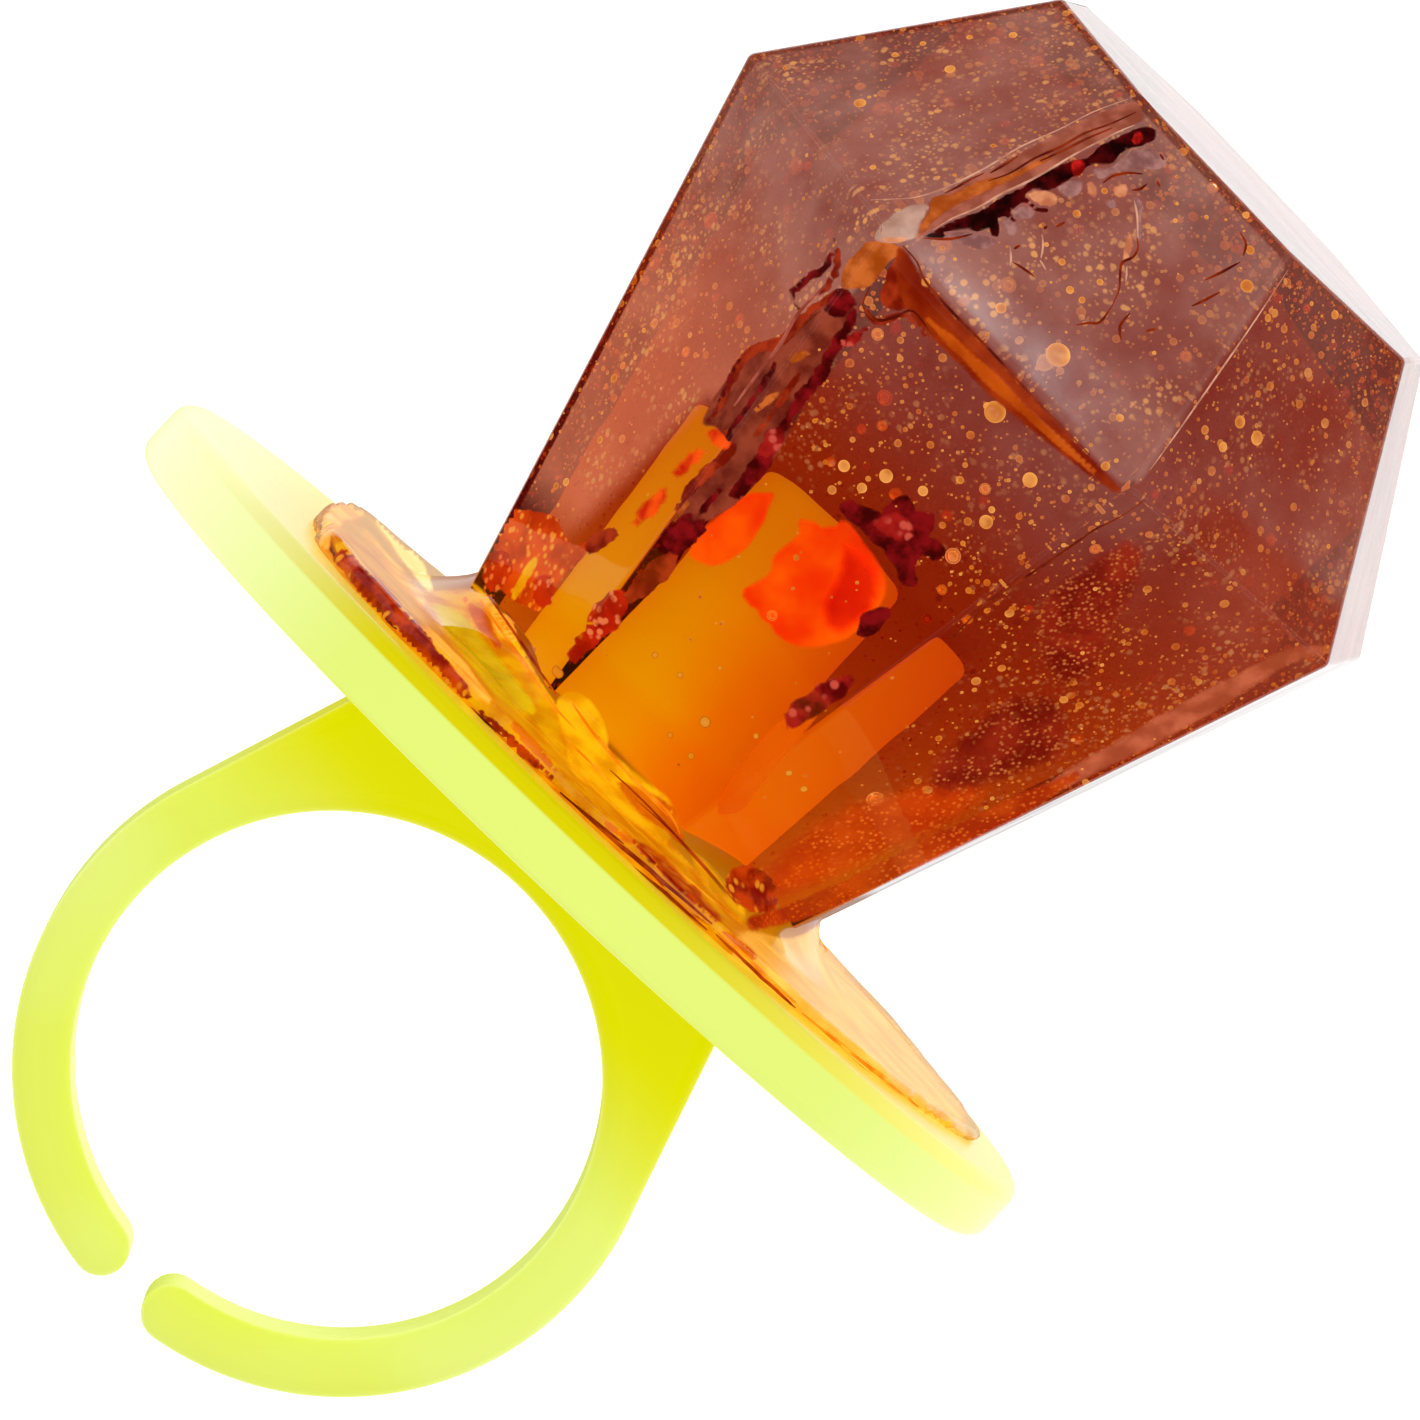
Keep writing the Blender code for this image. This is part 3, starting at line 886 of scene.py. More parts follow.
# %% Balls of air
GEM_MARGIN = 0.25 * MM
POST_SHOWS_AT = -1.1 * MM
POST_SHOWS_HALF = 6.1 * MM
CLEAR_BY_POST = 0.15
CLEAR_BY_FOOT = 0.12
FULL_FROM = 0.5 * TABLE_HEIGHT
MORE_SMALL = 2.2
rng = np.random.default_rng(7)


def gem_apothem(height):
    """How far the flat sides are from the gem's axis at this height."""
    heights = [BOTTOM, FOOT_HEIGHT, GIRDLE_HEIGHT, TABLE_HEIGHT]
    radii = [FOOT_RADIUS - slope * (FOOT_HEIGHT - BOTTOM), FOOT_RADIUS, GIRDLE_RADIUS, TABLE_RADIUS]
    return np.interp(height, heights, radii) * cos(pi / GEM_SIDES)


def below_skin(point):
    """How deep a point of the gem's own upright frame is, measured level or from the table or the foot."""
    x, y, z = point
    flats = (pi / GEM_SIDES * (2 * i + 1) for i in range(GEM_SIDES))
    sideways = gem_apothem(z) - max(x * cos(flat) + y * sin(flat) for flat in flats)
    return min(sideways, z - BOTTOM, TABLE_HEIGHT - z)


def inside_gem(point, margin):
    """Whether a point is that far inside the skin and clear of the post."""
    x, y, z = point
    clear = z > POST_HEIGHT + margin or hypot(x, y) > POST_RADIUS_FOOT + 3 * margin
    return clear and below_skin(point) > margin


def scatter(count, small, large, deepest=GIRDLE_RADIUS):
    """Places and sizes of bubbles down to a depth, more of them small and fewer near the foot."""
    low, high = (-GIRDLE_RADIUS, -GIRDLE_RADIUS, 0), (GIRDLE_RADIUS, GIRDLE_RADIUS, TABLE_HEIGHT)
    places = []
    while len(places) < count:
        point = rng.uniform(low, high)
        share = CLEAR_BY_FOOT + (1 - CLEAR_BY_FOOT) * min(1.0, point[2] / FULL_FROM) ** 2
        middle = GEM_PLACE @ Vector(point)
        if abs(middle.x - POST_SHOWS_AT) < POST_SHOWS_HALF and middle.y < 0 and middle.z < POST_HEIGHT:
            share *= CLEAR_BY_POST
        shown = below_skin(point) < deepest and inside_gem(point, GEM_MARGIN)
        if rng.random() < share and shown:
            radius = small * (large / small) ** (rng.random() ** MORE_SMALL)
            places.append((middle, radius))
    return places


def make_balls(name, places, subdivisions):
    """One mesh of all the balls: the same icosphere, moved and sized for each place."""
    bpy.ops.object.select_all(action="DESELECT")
    bpy.ops.mesh.primitive_ico_sphere_add(subdivisions=subdivisions, radius=1)
    ball = start(name)
    unit = np.array([vert.co for vert in ball.data.vertices])
    sides = np.array([face.vertices for face in ball.data.polygons])
    points = np.concatenate([unit * radius + np.array(middle) for middle, radius in places])
    faces = np.concatenate([sides + len(unit) * i for i in range(len(places))])
    ball.data.clear_geometry()
    ball.data.from_pydata(points.tolist(), [], faces.tolist())
    ball.data.shade_smooth()
    return ball


fine = make_balls("bubbles_fine", scatter(8600, 0.035 * MM, 0.08 * MM, deepest=3.5 * MM), 1)
small = make_balls("bubbles_small", scatter(1100, 0.08 * MM, 0.17 * MM, deepest=4.5 * MM), 2)
large = make_balls("bubbles_large", scatter(50, 0.17 * MM, 0.30 * MM), 3)
for balls in (fine, small, large):
    balls.data.transform(LYING)
print("bubbles", faces_of(fine), faces_of(small), faces_of(large), "faces")

# %% Placed bubbles
# Each has its spot in the picture, its size across in mm and its depth in mm.
FACET_BUBBLES = (
    ((1058, 355), 0.82, 0.5), ((1046, 362), 0.55, 0.9), ((995, 412), 0.72, 0.3), ((1001, 308), 0.36, 0.3),
    ((1257, 438), 0.48, 0.3), ((1240, 422), 0.42, 0.3), ((1223, 447), 0.34, 0.3), ((1205, 430), 0.30, 0.3),
    ((1247, 286), 0.44, 0.3), ((1250, 250), 0.3, 0.3), ((1268, 318), 0.26, 0.3), ((860, 103), 0.40, 0.3),
    ((950, 69), 0.36, 0.3), ((1013, 35), 0.28, 0.3), ((1030, 480), 0.50, 0.4), ((986, 522), 0.46, 0.4),
    ((886, 476), 0.46, 0.4), ((862, 488), 0.34, 0.4), ((844, 466), 0.40, 0.4), ((832, 490), 0.30, 0.4),
    ((923, 491), 0.34, 0.4), ((960, 480), 0.26, 0.4), ((1120, 418), 0.26, 0.3), ((1085, 452), 0.22, 0.3),
    ((566, 482), 0.28, 0.3), ((614, 378), 0.28, 0.3), ((556, 486), 0.24, 0.3), ((600, 440), 0.24, 0.3),
    ((1062, 262), 0.24, 0.3), ((1070, 290), 0.26, 0.3), ((1082, 300), 0.22, 0.3), ((1100, 282), 0.22, 0.3),
)
POST_BUBBLES = (
    ((655, 655), 0.22, 0.4), ((680, 675), 0.22, 0.4), ((720, 668), 0.16, 0.4), ((705, 722), 0.40, 0.4),
    ((670, 735), 0.22, 0.4), ((691, 756), 0.24, 0.4), ((756, 736), 0.20, 0.4), ((789, 773), 0.26, 0.4),
    ((804, 789), 0.28, 0.4), ((447, 682), 0.26, 0.2), ((465, 693), 0.24, 0.2), ((516, 713), 0.24, 0.2),
    ((549, 740), 0.24, 0.2), ((369, 571), 0.26, 0.25), ((376, 589), 0.22, 0.25), ((557, 672), 0.34, 0.5),
)


def balls_at(name, spots):
    return make_balls(name, [(look(spot, depth * MM), size * MM / 2) for spot, size, depth in spots], 3)


on_facets = balls_at("bubbles_on_facets", FACET_BUBBLES)
over_post_balls = balls_at("bubbles_over_post", POST_BUBBLES)
print("placed bubbles", len(FACET_BUBBLES) + len(POST_BUBBLES))

# %% Air inside the sugar
# Painted light: the bubbles emit their specks and rings, changing towards the rim where a ball is seen edge
# on.
GLINT_DEEP = (0.52, 0.13, 0.014, 1)
GLINT_PALE = (0.95, 0.42, 0.10, 1)
AIR_MIDDLE = (0.26, 0.07, 0.012, 1)
AIR_RIM = (0.95, 0.42, 0.14, 1)
POST_AIR_MIDDLE = (0.74, 0.26, 0.02, 1)
POST_AIR_RIM = (0.34, 0.075, 0.0, 1)

glint, shader, place = new_material("bubble_glint")
share = (place.edge_on() * 0.7 + place.grain(1500, 1).ramp(0.4, 0.65) * 0.5).math("MINIMUM", 1.0)
set_shader(
    shader,
    Base_Color=(0.08, 0.02, 0.005, 1),
    Roughness=0.3,
    Emission_Color=share.mix(GLINT_DEEP, GLINT_PALE),
    Emission_Strength=1.0,
)
air, shader, place = new_material("bubble_air")
set_shader(
    shader,
    Base_Color=(1, 1, 1, 1),
    Roughness=0.0,
    IOR=1 / SUGAR_IOR,
    Transmission_Weight=1.0,
    Emission_Color=(place.edge_on() ** 2).mix(AIR_MIDDLE, AIR_RIM),
    Emission_Strength=1.0,
)
post_air, shader, place = new_material("bubble_by_post")
set_shader(
    shader,
    Base_Color=(0.10, 0.03, 0.0, 1),
    Roughness=0.1,
    Emission_Color=place.edge_on().ramp(0.25, 0.75).mix(POST_AIR_MIDDLE, POST_AIR_RIM),
    Emission_Strength=1.0,
)
add_to_sweet(fine, glint)
add_to_sweet(small, glint)
add_to_sweet(large, air)
add_to_sweet(on_facets, glint)
add_to_sweet(over_post_balls, post_air)

# %% [markdown]
# ## Voids, cracks and chips
# Where the sugar shrank away from the post or broke, air gaps mirror the dark inside of the sweet and look
# nearly black, and chips and rough places look pale. They lie just under the skin or in front of the post.
# Each is drawn as an outline in the picture, cut into a fine grid, and sent down its lines of sight, so
# that it follows the skin. The grid also carries how far each point is from the outline, and the finish
# fades out towards it.

# %% Smooth lines through spots
FADE = "from_outline"
SHAKES = 0.21
WAVERS = 0.09
SHAKE_SEED = 7
noise.seed_set(SHAKE_SEED)


def soft_line(spots, ragged=0.0, closed=True, steps=4):
    """A smooth line through the spots, shaken a little, as picture spots."""
    count = len(spots)
    line = []
    for i in range(count if closed else count - 1):
        around = (j % count if closed else min(max(j, 0), count - 1) for j in range(i - 1, i + 3))
        a, b, c, d = (Vector(spots[j]) for j in around)
        for t in (k / steps for k in range(steps)):
            spot = 2 * b + (c - a) * t + (2 * a - 5 * b + 4 * c - d) * t**2 + (3 * b - a - 3 * c + d) * t**3
            spot *= 0.5
            shake = noise.noise_vector((spot.x * SHAKES, spot.y * SHAKES, 0))
            line.append((spot.x + shake.x * ragged, spot.y + shake.y * ragged))
    if not closed:
        line.append(tuple(spots[-1]))
    return line


def towards_camera(line):
    """The same loop, running so that its face looks at the camera."""
    area = sum(a[0] * b[1] - b[0] * a[1] for a, b in zip(line, line[1:] + line[:1]))
    return line[::-1] if area > 0 else line


def ribbon(spots, width):
    """An outline round a line through the spots, so many wide, uneven and narrower at its ends."""
    line = [Vector(spot) for spot in soft_line(spots, closed=False, steps=2)]
    sides = ([], [])
    for i, spot in enumerate(line):
        along = (line[min(i + 1, len(line) - 1)] - line[max(i - 1, 0)]).normalized()
        uneven = noise.noise((spot.x * WAVERS, spot.y * WAVERS, width))
        half = width * (0.22 + 0.28 * sin(pi * i / (len(line) - 1)) + 0.20 * uneven)
        for points, sign in zip(sides, (1, -1)):
            points.append(spot + Vector((-along.y, along.x)) * half * sign)
    return sides[0] + sides[1][::-1]


print("soft lines ready")

# %% Plates and threads under the skin
GRID = 5
PLATE = 0.03 * MM
THREAD_TIP = 0.35
# Share of a finish's colour that it emits, as painted light.
GLOWING = 0.85
COARSE_DOTS = 2100
MEDIUM_DOTS = 3000
FINE_DOTS = 5200


def plates(name, finish, depth, *outlines, fade=0.0, ragged=0.0, steps=4):
    """Thin plates so deep under the skin, one for each outline, that fade over so many picture spots."""
    mesh = bpy.data.meshes.new(name)
    drawn = bmesh.new()
    for spots in outlines:
        outline = towards_camera(soft_line(spots, ragged, steps=steps))
        drawn.faces.new([drawn.verts.new((x, y, 0)) for x, y in outline])
    for way in (Vector((1, 0, 0)), Vector((0, 1, 0))):
        low, high = (limit(vert.co.dot(way) for vert in drawn.verts) for limit in (min, max))
        for cut in np.arange(low + GRID, high, GRID):
            everything = drawn.verts[:] + drawn.edges[:] + drawn.faces[:]
            bmesh.ops.bisect_plane(drawn, geom=everything, plane_co=way * cut, plane_no=way)
    border = np.array([vert.co for vert in drawn.verts if vert.is_boundary])
    inner = drawn.verts.layers.float.new(FADE)
    for vert in drawn.verts:
        away = np.min(np.linalg.norm(border - np.array(vert.co), axis=1))
        vert[inner] = min(1.0, away / fade) if fade else 1.0
    places = {vert: look(vert.co.xy, depth) for vert in drawn.verts}
    for vert, place in places.items():
        if place is None:
            drawn.verts.remove(vert)
        else:
            vert.co = place
    drawn.to_mesh(mesh)
    drawn.free()
    obj = bpy.data.objects.new(name, mesh)
    scene.collection.objects.link(obj)
    apply_modifier(obj, "SOLIDIFY", thickness=PLATE, offset=-1)
    add_to_sweet(obj, finish)


def threads(name, finish, depth, radius, *lines):
    """Thin round strands under the skin, thinner towards both ends."""
    curve = bpy.data.curves.new(name, "CURVE")
    curve.dimensions = "3D"
    curve.bevel_depth = radius
    curve.bevel_resolution = 1
    curve.use_fill_caps = True
    for spots in lines:
        run = [place for spot in soft_line(spots, closed=False) if (place := look(spot, depth))]
        if len(run) < 3:
            continue
        spline = curve.splines.new("POLY")
        spline.points.add(len(run) - 1)
        for i, (point, place) in enumerate(zip(spline.points, run)):
            point.co = (*place, 1)
            point.radius = THREAD_TIP + (1 - THREAD_TIP) * sin(pi * i / (len(run) - 1))
    obj = bpy.data.objects.new(name, curve)
    scene.collection.objects.link(obj)
    select_only(obj)
    bpy.ops.object.convert(target="MESH")
    add_to_sweet(bpy.context.object, finish)


def cloudy(name, dark, light, scale, fades=True, share=1.0, glints=None, dots=COARSE_DOTS, tatter=0.8):
    """A finish between two colours, in patches of this many a metre, that fades out where its plate does."""
    # Painted light: each finish emits most of its colour, and its glints are painted highlights.
    material, shader, place = new_material(name)
    colour = place.grain(scale, 3).ramp(0.36, 0.66).mix((*dark, 1), (*light, 1))
    if glints:
        colour = (place.dots(dots, 0.42) * place.grain(900, 2).ramp(0.34, 0.5)).mix(colour, (*glints, 1))
    glow = colour.add("Mix", {"data_type": "RGBA"}, {0: GLOWING, 6: (0, 0, 0, 1), 7: colour}, output=2)
    set_shader(shader, Base_Color=colour, Roughness=0.4, Specular_IOR_Level=0.0)
    set_shader(shader, Emission_Color=glow, Emission_Strength=1.0)
    if fades:
        ragged = 1 - tatter / 2 + tatter * place.grain(2600, 2)
        inner = place.add("Attribute", {"attribute_name": FADE}, output=2)
        set_shader(shader, Alpha=(inner * ragged).ramp(0.0, 0.75) * share)
    return material


print("ways to draw through the skin ready")

# %% Finishes of the voids
black = cloudy("void_black", (0.045, 0.0005, 0.0005), (0.20, 0.004, 0.006), 1500)
deep_black = cloudy("void_deep", (0.008, 0.0003, 0.0003), (0.07, 0.0015, 0.002), 1500)
bright_crimson = cloudy("void_bright", (0.16, 0.002, 0.002), (0.50, 0.012, 0.008), 2500, share=0.9)
crimson = cloudy("void_crimson", (0.09, 0.001, 0.001), (0.32, 0.010, 0.008), 1500, glints=(0.50, 0.07, 0.05))
brown = cloudy("void_brown", (0.15, 0.006, 0.001), (0.34, 0.030, 0.006), 1300)
hot_red = cloudy("void_red", (0.50, 0.012, 0.001), (0.82, 0.085, 0.004), 900, share=0.9)
patch_red = cloudy("patch_red", (0.88, 0.050, 0.0), (1.0, 0.19, 0.002), 350, share=0.9)
patch_crimson = cloudy(
    "patch_crimson", (0.60, 0.008, 0.001), (0.74, 0.030, 0.003), 600, share=0.8, tatter=0.2
)
amber = cloudy("band_amber", (0.30, 0.050, 0.003), (0.50, 0.120, 0.020), 1300)
brownish = cloudy("band_mauve", (0.22, 0.048, 0.024), (0.36, 0.105, 0.065), 1100)
edge_brown = cloudy("band_brown", (0.17, 0.007, 0.0), (0.32, 0.034, 0.003), 500, share=0.95)
edge_orange = cloudy("band_orange", (0.34, 0.042, 0.001), (0.50, 0.085, 0.004), 600, share=0.85)
ribbon_shade = cloudy("ribbon_shade", (0.13, 0.014, 0.007), (0.27, 0.048, 0.024), 1000, share=0.85)
foot_brown = cloudy(
    "foot_brown", (0.40, 0.026, 0.0), (0.60, 0.060, 0.002), 900, glints=(0.74, 0.24, 0.03), dots=MEDIUM_DOTS
)
foot_orange = cloudy(
    "foot_orange", (0.40, 0.026, 0.0), (0.50, 0.050, 0.001), 700,
    share=0.7, glints=(0.62, 0.13, 0.012), dots=FINE_DOTS, tatter=0.2,
)
front_deep = cloudy(
    "front_deep", (0.15, 0.004, 0.001), (0.27, 0.018, 0.005), 600,
    share=0.7, glints=(0.48, 0.14, 0.04), dots=FINE_DOTS,
)
edge_mauve = cloudy("edge_mauve", (0.32, 0.060, 0.024), (0.48, 0.120, 0.060), 900, share=0.9)
post_orange = cloudy("post_orange", (0.60, 0.085, 0.0), (0.64, 0.098, 0.001), 400, tatter=0.0)
foot_crimson = cloudy(
    "foot_crimson", (0.26, 0.002, 0.001), (0.46, 0.012, 0.002), 900,
    glints=(0.66, 0.16, 0.06), dots=MEDIUM_DOTS,
)
pale = cloudy("chip_pale", (0.20, 0.075, 0.068), (0.36, 0.170, 0.150), 1700)
corner_chip_highlight = cloudy("chip_corner_highlight", (0.34, 0.180, 0.130), (0.52, 0.320, 0.250), 900)
peach = cloudy("chip_peach", (0.42, 0.130, 0.060), (0.64, 0.270, 0.130), 1500)
pale_highlight_line = cloudy("line_pale_highlight", (0.40, 0.170, 0.110), (0.62, 0.330, 0.220), 1500, fades=False)
hairline = cloudy("crack_brown", (0.08, 0.004, 0.001), (0.24, 0.025, 0.003), 1200, fades=False)
rosy = cloudy("strand_rosy", (0.24, 0.040, 0.024), (0.42, 0.110, 0.075), 1200, fades=False)
print("finishes of the voids ready")

# %% Finishes of the spill
spill_red = cloudy("spill_red", (0.20, 0.004, 0.0), (0.48, 0.050, 0.002), 1500, glints=(0.70, 0.30, 0.04))
spill_orange = cloudy("spill_orange", (0.50, 0.090, 0.0), (0.66, 0.190, 0.002), 900, share=0.85)
spill_gold = cloudy("spill_gold", (0.64, 0.32, 0.001), (0.80, 0.54, 0.010), 800, share=0.8)
spill_olive = cloudy("spill_olive", (0.52, 0.38, 0.0), (0.62, 0.52, 0.003), 700, share=0.8)
spill_peach_highlight = cloudy("spill_peach_highlight", (0.90, 0.42, 0.08), (0.98, 0.62, 0.20), 500, share=0.75)
spill_cream_highlight = cloudy("spill_cream_highlight", (0.97, 0.74, 0.34), (1.0, 0.86, 0.55), 500, share=0.9)
low_glow = cloudy(
    "low_glow", (0.32, 0.022, 0.001), (0.44, 0.048, 0.002), 700,
    share=0.9, glints=(0.54, 0.10, 0.01), dots=FINE_DOTS,
)
spill_glow = cloudy("spill_glow", (0.56, 0.22, 0.0), (0.70, 0.43, 0.003), 900, share=0.95)
spill_clear_with_reflection = cloudy("spill_clear_with_reflection", (0.80, 0.48, 0.10), (0.90, 0.66, 0.24), 500, share=0.9)
line_orange_highlight = cloudy("line_orange_highlight", (0.70, 0.20, 0.004), (0.90, 0.42, 0.03), 900, fades=False)
rim_line_and_shade = cloudy("rim_line_and_shade", (0.18, 0.010, 0.0), (0.44, 0.070, 0.003), 900, fades=False)
print("finishes of the spill ready")

# %% Broken edge of the crown
SKIN = 0.08 * MM

plates(
    "crack_wedge", deep_black, SKIN * 1.5,
    [
        (923, 237), (935, 230), (953, 220), (980, 210), (1003, 195), (1023, 187), (1028, 180), (1037, 173),
        (1052, 168), (1070, 160), (1088, 157), (1097, 147), (1110, 140), (1127, 132), (1140, 127),
        (1148, 125), (1157, 130), (1157, 137), (1150, 143), (1142, 146), (1133, 148), (1120, 155),
        (1115, 162), (1107, 165), (1093, 165), (1086, 168), (1080, 175), (1072, 177), (1068, 181),
        (1060, 185), (1053, 190), (1043, 191), (1033, 190), (1027, 194), (1029, 199), (1037, 206),
        (1048, 208), (1047, 213), (1036, 212), (1027, 204), (1020, 205), (1012, 211), (1014, 217),
        (1021, 222), (1018, 226), (1009, 221), (1004, 217), (998, 219), (1001, 227), (998, 237), (991, 235),
        (988, 229), (977, 232), (967, 230), (953, 231), (944, 233), (950, 239), (935, 239),
    ],
    fade=1.5, ragged=1.0, steps=2,
)
plates(
    "crack_red", bright_crimson, SKIN,
    [(1070, 166), (1074, 159), (1082, 159), (1086, 166), (1083, 174), (1075, 177)],
    [(1131, 138), (1135, 131), (1143, 132), (1144, 140), (1138, 146), (1132, 145)],
    fade=3, ragged=2.0,
)
plates(
    "edge_band", brownish, SKIN,
    [
        (926, 204), (946, 192), (984, 172), (1024, 150), (1080, 121), (1128, 101), (1138, 103), (1144, 114),
        (1142, 122), (1118, 132), (1094, 144), (1076, 154), (1052, 169), (1030, 180), (1004, 194),
        (978, 208), (952, 220), (930, 232), (918, 238), (922, 222),
    ],
    fade=2, steps=2,
)
plates(
    "edge_amber", amber, SKIN * 0.7,
    [
        (932, 197), (953, 192), (983, 178), (1000, 176), (1020, 168), (1048, 154), (1056, 157), (1034, 169),
        (1010, 182), (990, 191), (967, 201), (947, 212), (933, 224), (920, 237), (917, 230), (922, 221),
        (928, 211),
    ],
    fade=3, ragged=1.0,
)

# %% Clear band beside the worn edge
# Painted light: the band's brown and orange stand for floor light that the worn, rounded edge bends in.
plates(
    "edge_clear", edge_brown, SKIN,
    [
        (896, 246), (910, 252), (926, 282), (956, 316), (988, 348), (1034, 398), (1090, 455), (1124, 490),
        (1114, 494), (1076, 468), (1030, 430), (990, 398), (960, 368), (926, 334), (906, 312), (896, 282),
    ],
    fade=7, ragged=1.0, steps=2,
)
plates(
    "edge_glow", edge_orange, SKIN * 0.7,
    ribbon([(926, 318), (950, 340), (984, 372), (1020, 406), (1060, 442), (1096, 474)], 15),
    fade=4,
)

# %% Cracks
threads(
    "cracks_dark", hairline, SKIN * 0.6, 0.05 * MM,
    [(945, 193), (957, 187), (969, 180), (984, 173)],
    [(990, 173), (1004, 165), (1018, 156)],
    [(988, 181), (1010, 173), (1035, 158), (1060, 147), (1085, 133), (1110, 124), (1136, 112)],
    [(1040, 161), (1062, 151), (1086, 139), (1112, 128)],
    [(923, 238), (950, 239), (972, 234)],
    [(903, 246), (917, 262), (926, 282), (956, 316), (988, 348), (1034, 398), (1090, 455)],
    [(870, 287), (863, 306), (877, 320), (895, 317), (913, 311), (931, 334)],
    [(1044, 229), (1047, 226)],
    [(1056, 227), (1065, 222)],
    [(1014, 249), (1020, 245)],
    [(1013, 262), (1024, 269), (1035, 277)],
    [(1160, 154), (1164, 160)],
    [(1157, 181), (1160, 187)],
    [(1132, 190), (1140, 189), (1147, 184)],
    [(1103, 183), (1113, 176), (1128, 173), (1143, 174)],
    [(1137, 238), (1138, 248), (1133, 257), (1122, 263), (1120, 277), (1119, 290), (1112, 306)],
    [(1112, 306), (1100, 322), (1088, 323), (1076, 325)],
    [(1130, 313), (1120, 326), (1121, 340)],
    [(1192, 306), (1205, 300), (1220, 292)],
    [(1146, 331), (1156, 329)],
    [(1205, 280), (1222, 272), (1240, 262)],
    [(1240, 232), (1246, 244), (1243, 256)],
    [
        (1145, 500), (1120, 517), (1094, 530), (1073, 545), (1041, 567), (1009, 588), (983, 606),
        (962, 628), (949, 640),
    ],
    [(471, 707), (486, 722), (502, 736)],
    [(560, 793), (596, 822), (624, 844)],
    [(820, 311), (802, 326), (784, 345)],
)
# Painted highlights: the long pale threads along the worn edge and the table's edge are highlights of
# rounded edges; the short ones are pale cracks.
threads(
    "highlights_and_pale_cracks", pale_highlight_line, SKIN * 0.6, 0.04 * MM,
    [
        (870, 200), (893, 199), (917, 197), (947, 187), (987, 167), (1020, 147), (1060, 129), (1093, 112),
        (1128, 99),
    ],
    [
        (933, 230), (953, 218), (977, 208), (1003, 193), (1027, 182), (1052, 168), (1077, 153), (1118, 132),
        (1135, 125),
    ],
    [(1134, 200), (1137, 214), (1138, 238)],
    [(1042, 234), (1043, 246), (1041, 258)],
    [(1010, 246), (1011, 258), (1010, 266)],
    [(1127, 266), (1126, 282)],
    [(1288, 270), (1254, 322), (1216, 377), (1174, 437), (1150, 470)],
    [(1040, 260), (1046, 270)],
)
threads(
    "strand_by_edge", rosy, 0.2 * MM, 0.1 * MM,
    [(827, 284), (800, 311), (781, 343), (756, 376), (734, 406)],
)

# %% Chips
plates(
    "chips", pale, SKIN * 0.6,
    [(1012, 212), (1020, 207), (1032, 207), (1035, 215), (1027, 220), (1017, 218)],
    [(1002, 217), (1010, 218), (1018, 226), (1016, 236), (1008, 236), (1003, 227)],
    [
        (1088, 168), (1100, 167), (1113, 165), (1120, 157), (1133, 150), (1150, 147), (1160, 152),
        (1168, 161), (1160, 170), (1147, 170), (1128, 170), (1112, 174), (1102, 180), (1094, 176),
    ],
    [(1057, 187), (1070, 180), (1082, 178), (1083, 188), (1077, 197), (1063, 197)],
    [(1132, 200), (1137, 196), (1144, 206), (1142, 218), (1144, 230), (1140, 240), (1134, 236), (1136, 220)],
    [(944, 234), (953, 232), (977, 233), (990, 237), (998, 241), (987, 250), (966, 246), (952, 240)],
    [(1104, 202), (1112, 198), (1118, 204), (1112, 210)],
    fade=2, ragged=1.5, steps=2,
)
# Painted highlight: the worn, chipped corner is laid in as a pale patch where it catches the light.
plates(
    "chip_and_highlight_at_corner", corner_chip_highlight, SKIN * 0.6,
    [
        (928, 203), (930, 208), (928, 213), (920, 224), (917, 237), (907, 241), (893, 244), (876, 242),
        (873, 235), (879, 226), (891, 215), (904, 207), (916, 203),
    ],
    fade=3, ragged=1.0, steps=2,
)
plates(
    "chips_peach", peach, SKIN * 0.5,
    [(1028, 194), (1037, 190), (1052, 192), (1059, 200), (1053, 207), (1040, 205), (1032, 201)],
    [(1084, 179), (1093, 182), (1099, 191), (1096, 198), (1089, 195), (1086, 187)],
    [(1113, 187), (1126, 183), (1129, 193), (1121, 199), (1115, 195)],
    [(1126, 236), (1130, 232), (1134, 244), (1130, 256), (1122, 262)],
    [(880, 239), (893, 236), (908, 237), (905, 242), (890, 245)],
    fade=3, ragged=1.5, steps=2,
)

# %% Braided ribbons from the front corner to the post
RIBBON = 0.2 * MM

plates(
    "ribbon_shade", ribbon_shade, 0.35 * MM,
    [
        (846, 288), (812, 304), (784, 334), (752, 346), (730, 372), (700, 420), (716, 430), (730, 450),
        (700, 482), (676, 510), (688, 530), (712, 520), (742, 500), (780, 452), (806, 404), (834, 360),
        (856, 318),
    ],
    fade=5, ragged=2.0,
)
plates(
    "ribbons_brown", brown, RIBBON * 1.2,
    ribbon([(840, 291), (811, 310), (783, 339), (752, 351), (735, 372), (723, 401), (707, 422)], 12),
    ribbon([(726, 430), (732, 449), (711, 468), (692, 487), (676, 510)], 13),
    ribbon([(803, 366), (790, 388), (772, 414), (752, 440)], 8),
    ribbon([(836, 246), (838, 262), (830, 282), (818, 296)], 10),
    ribbon([(676, 552), (660, 570), (642, 586), (626, 602)], 26),
    ribbon([(618, 530), (600, 540), (586, 552)], 18),
    ribbon([(862, 306), (877, 322), (905, 316), (930, 340)], 9),
    [(903, 250), (915, 277), (934, 304), (934, 332), (916, 308), (896, 312), (880, 300), (888, 270)],
    fade=2.5, ragged=3.0,
)
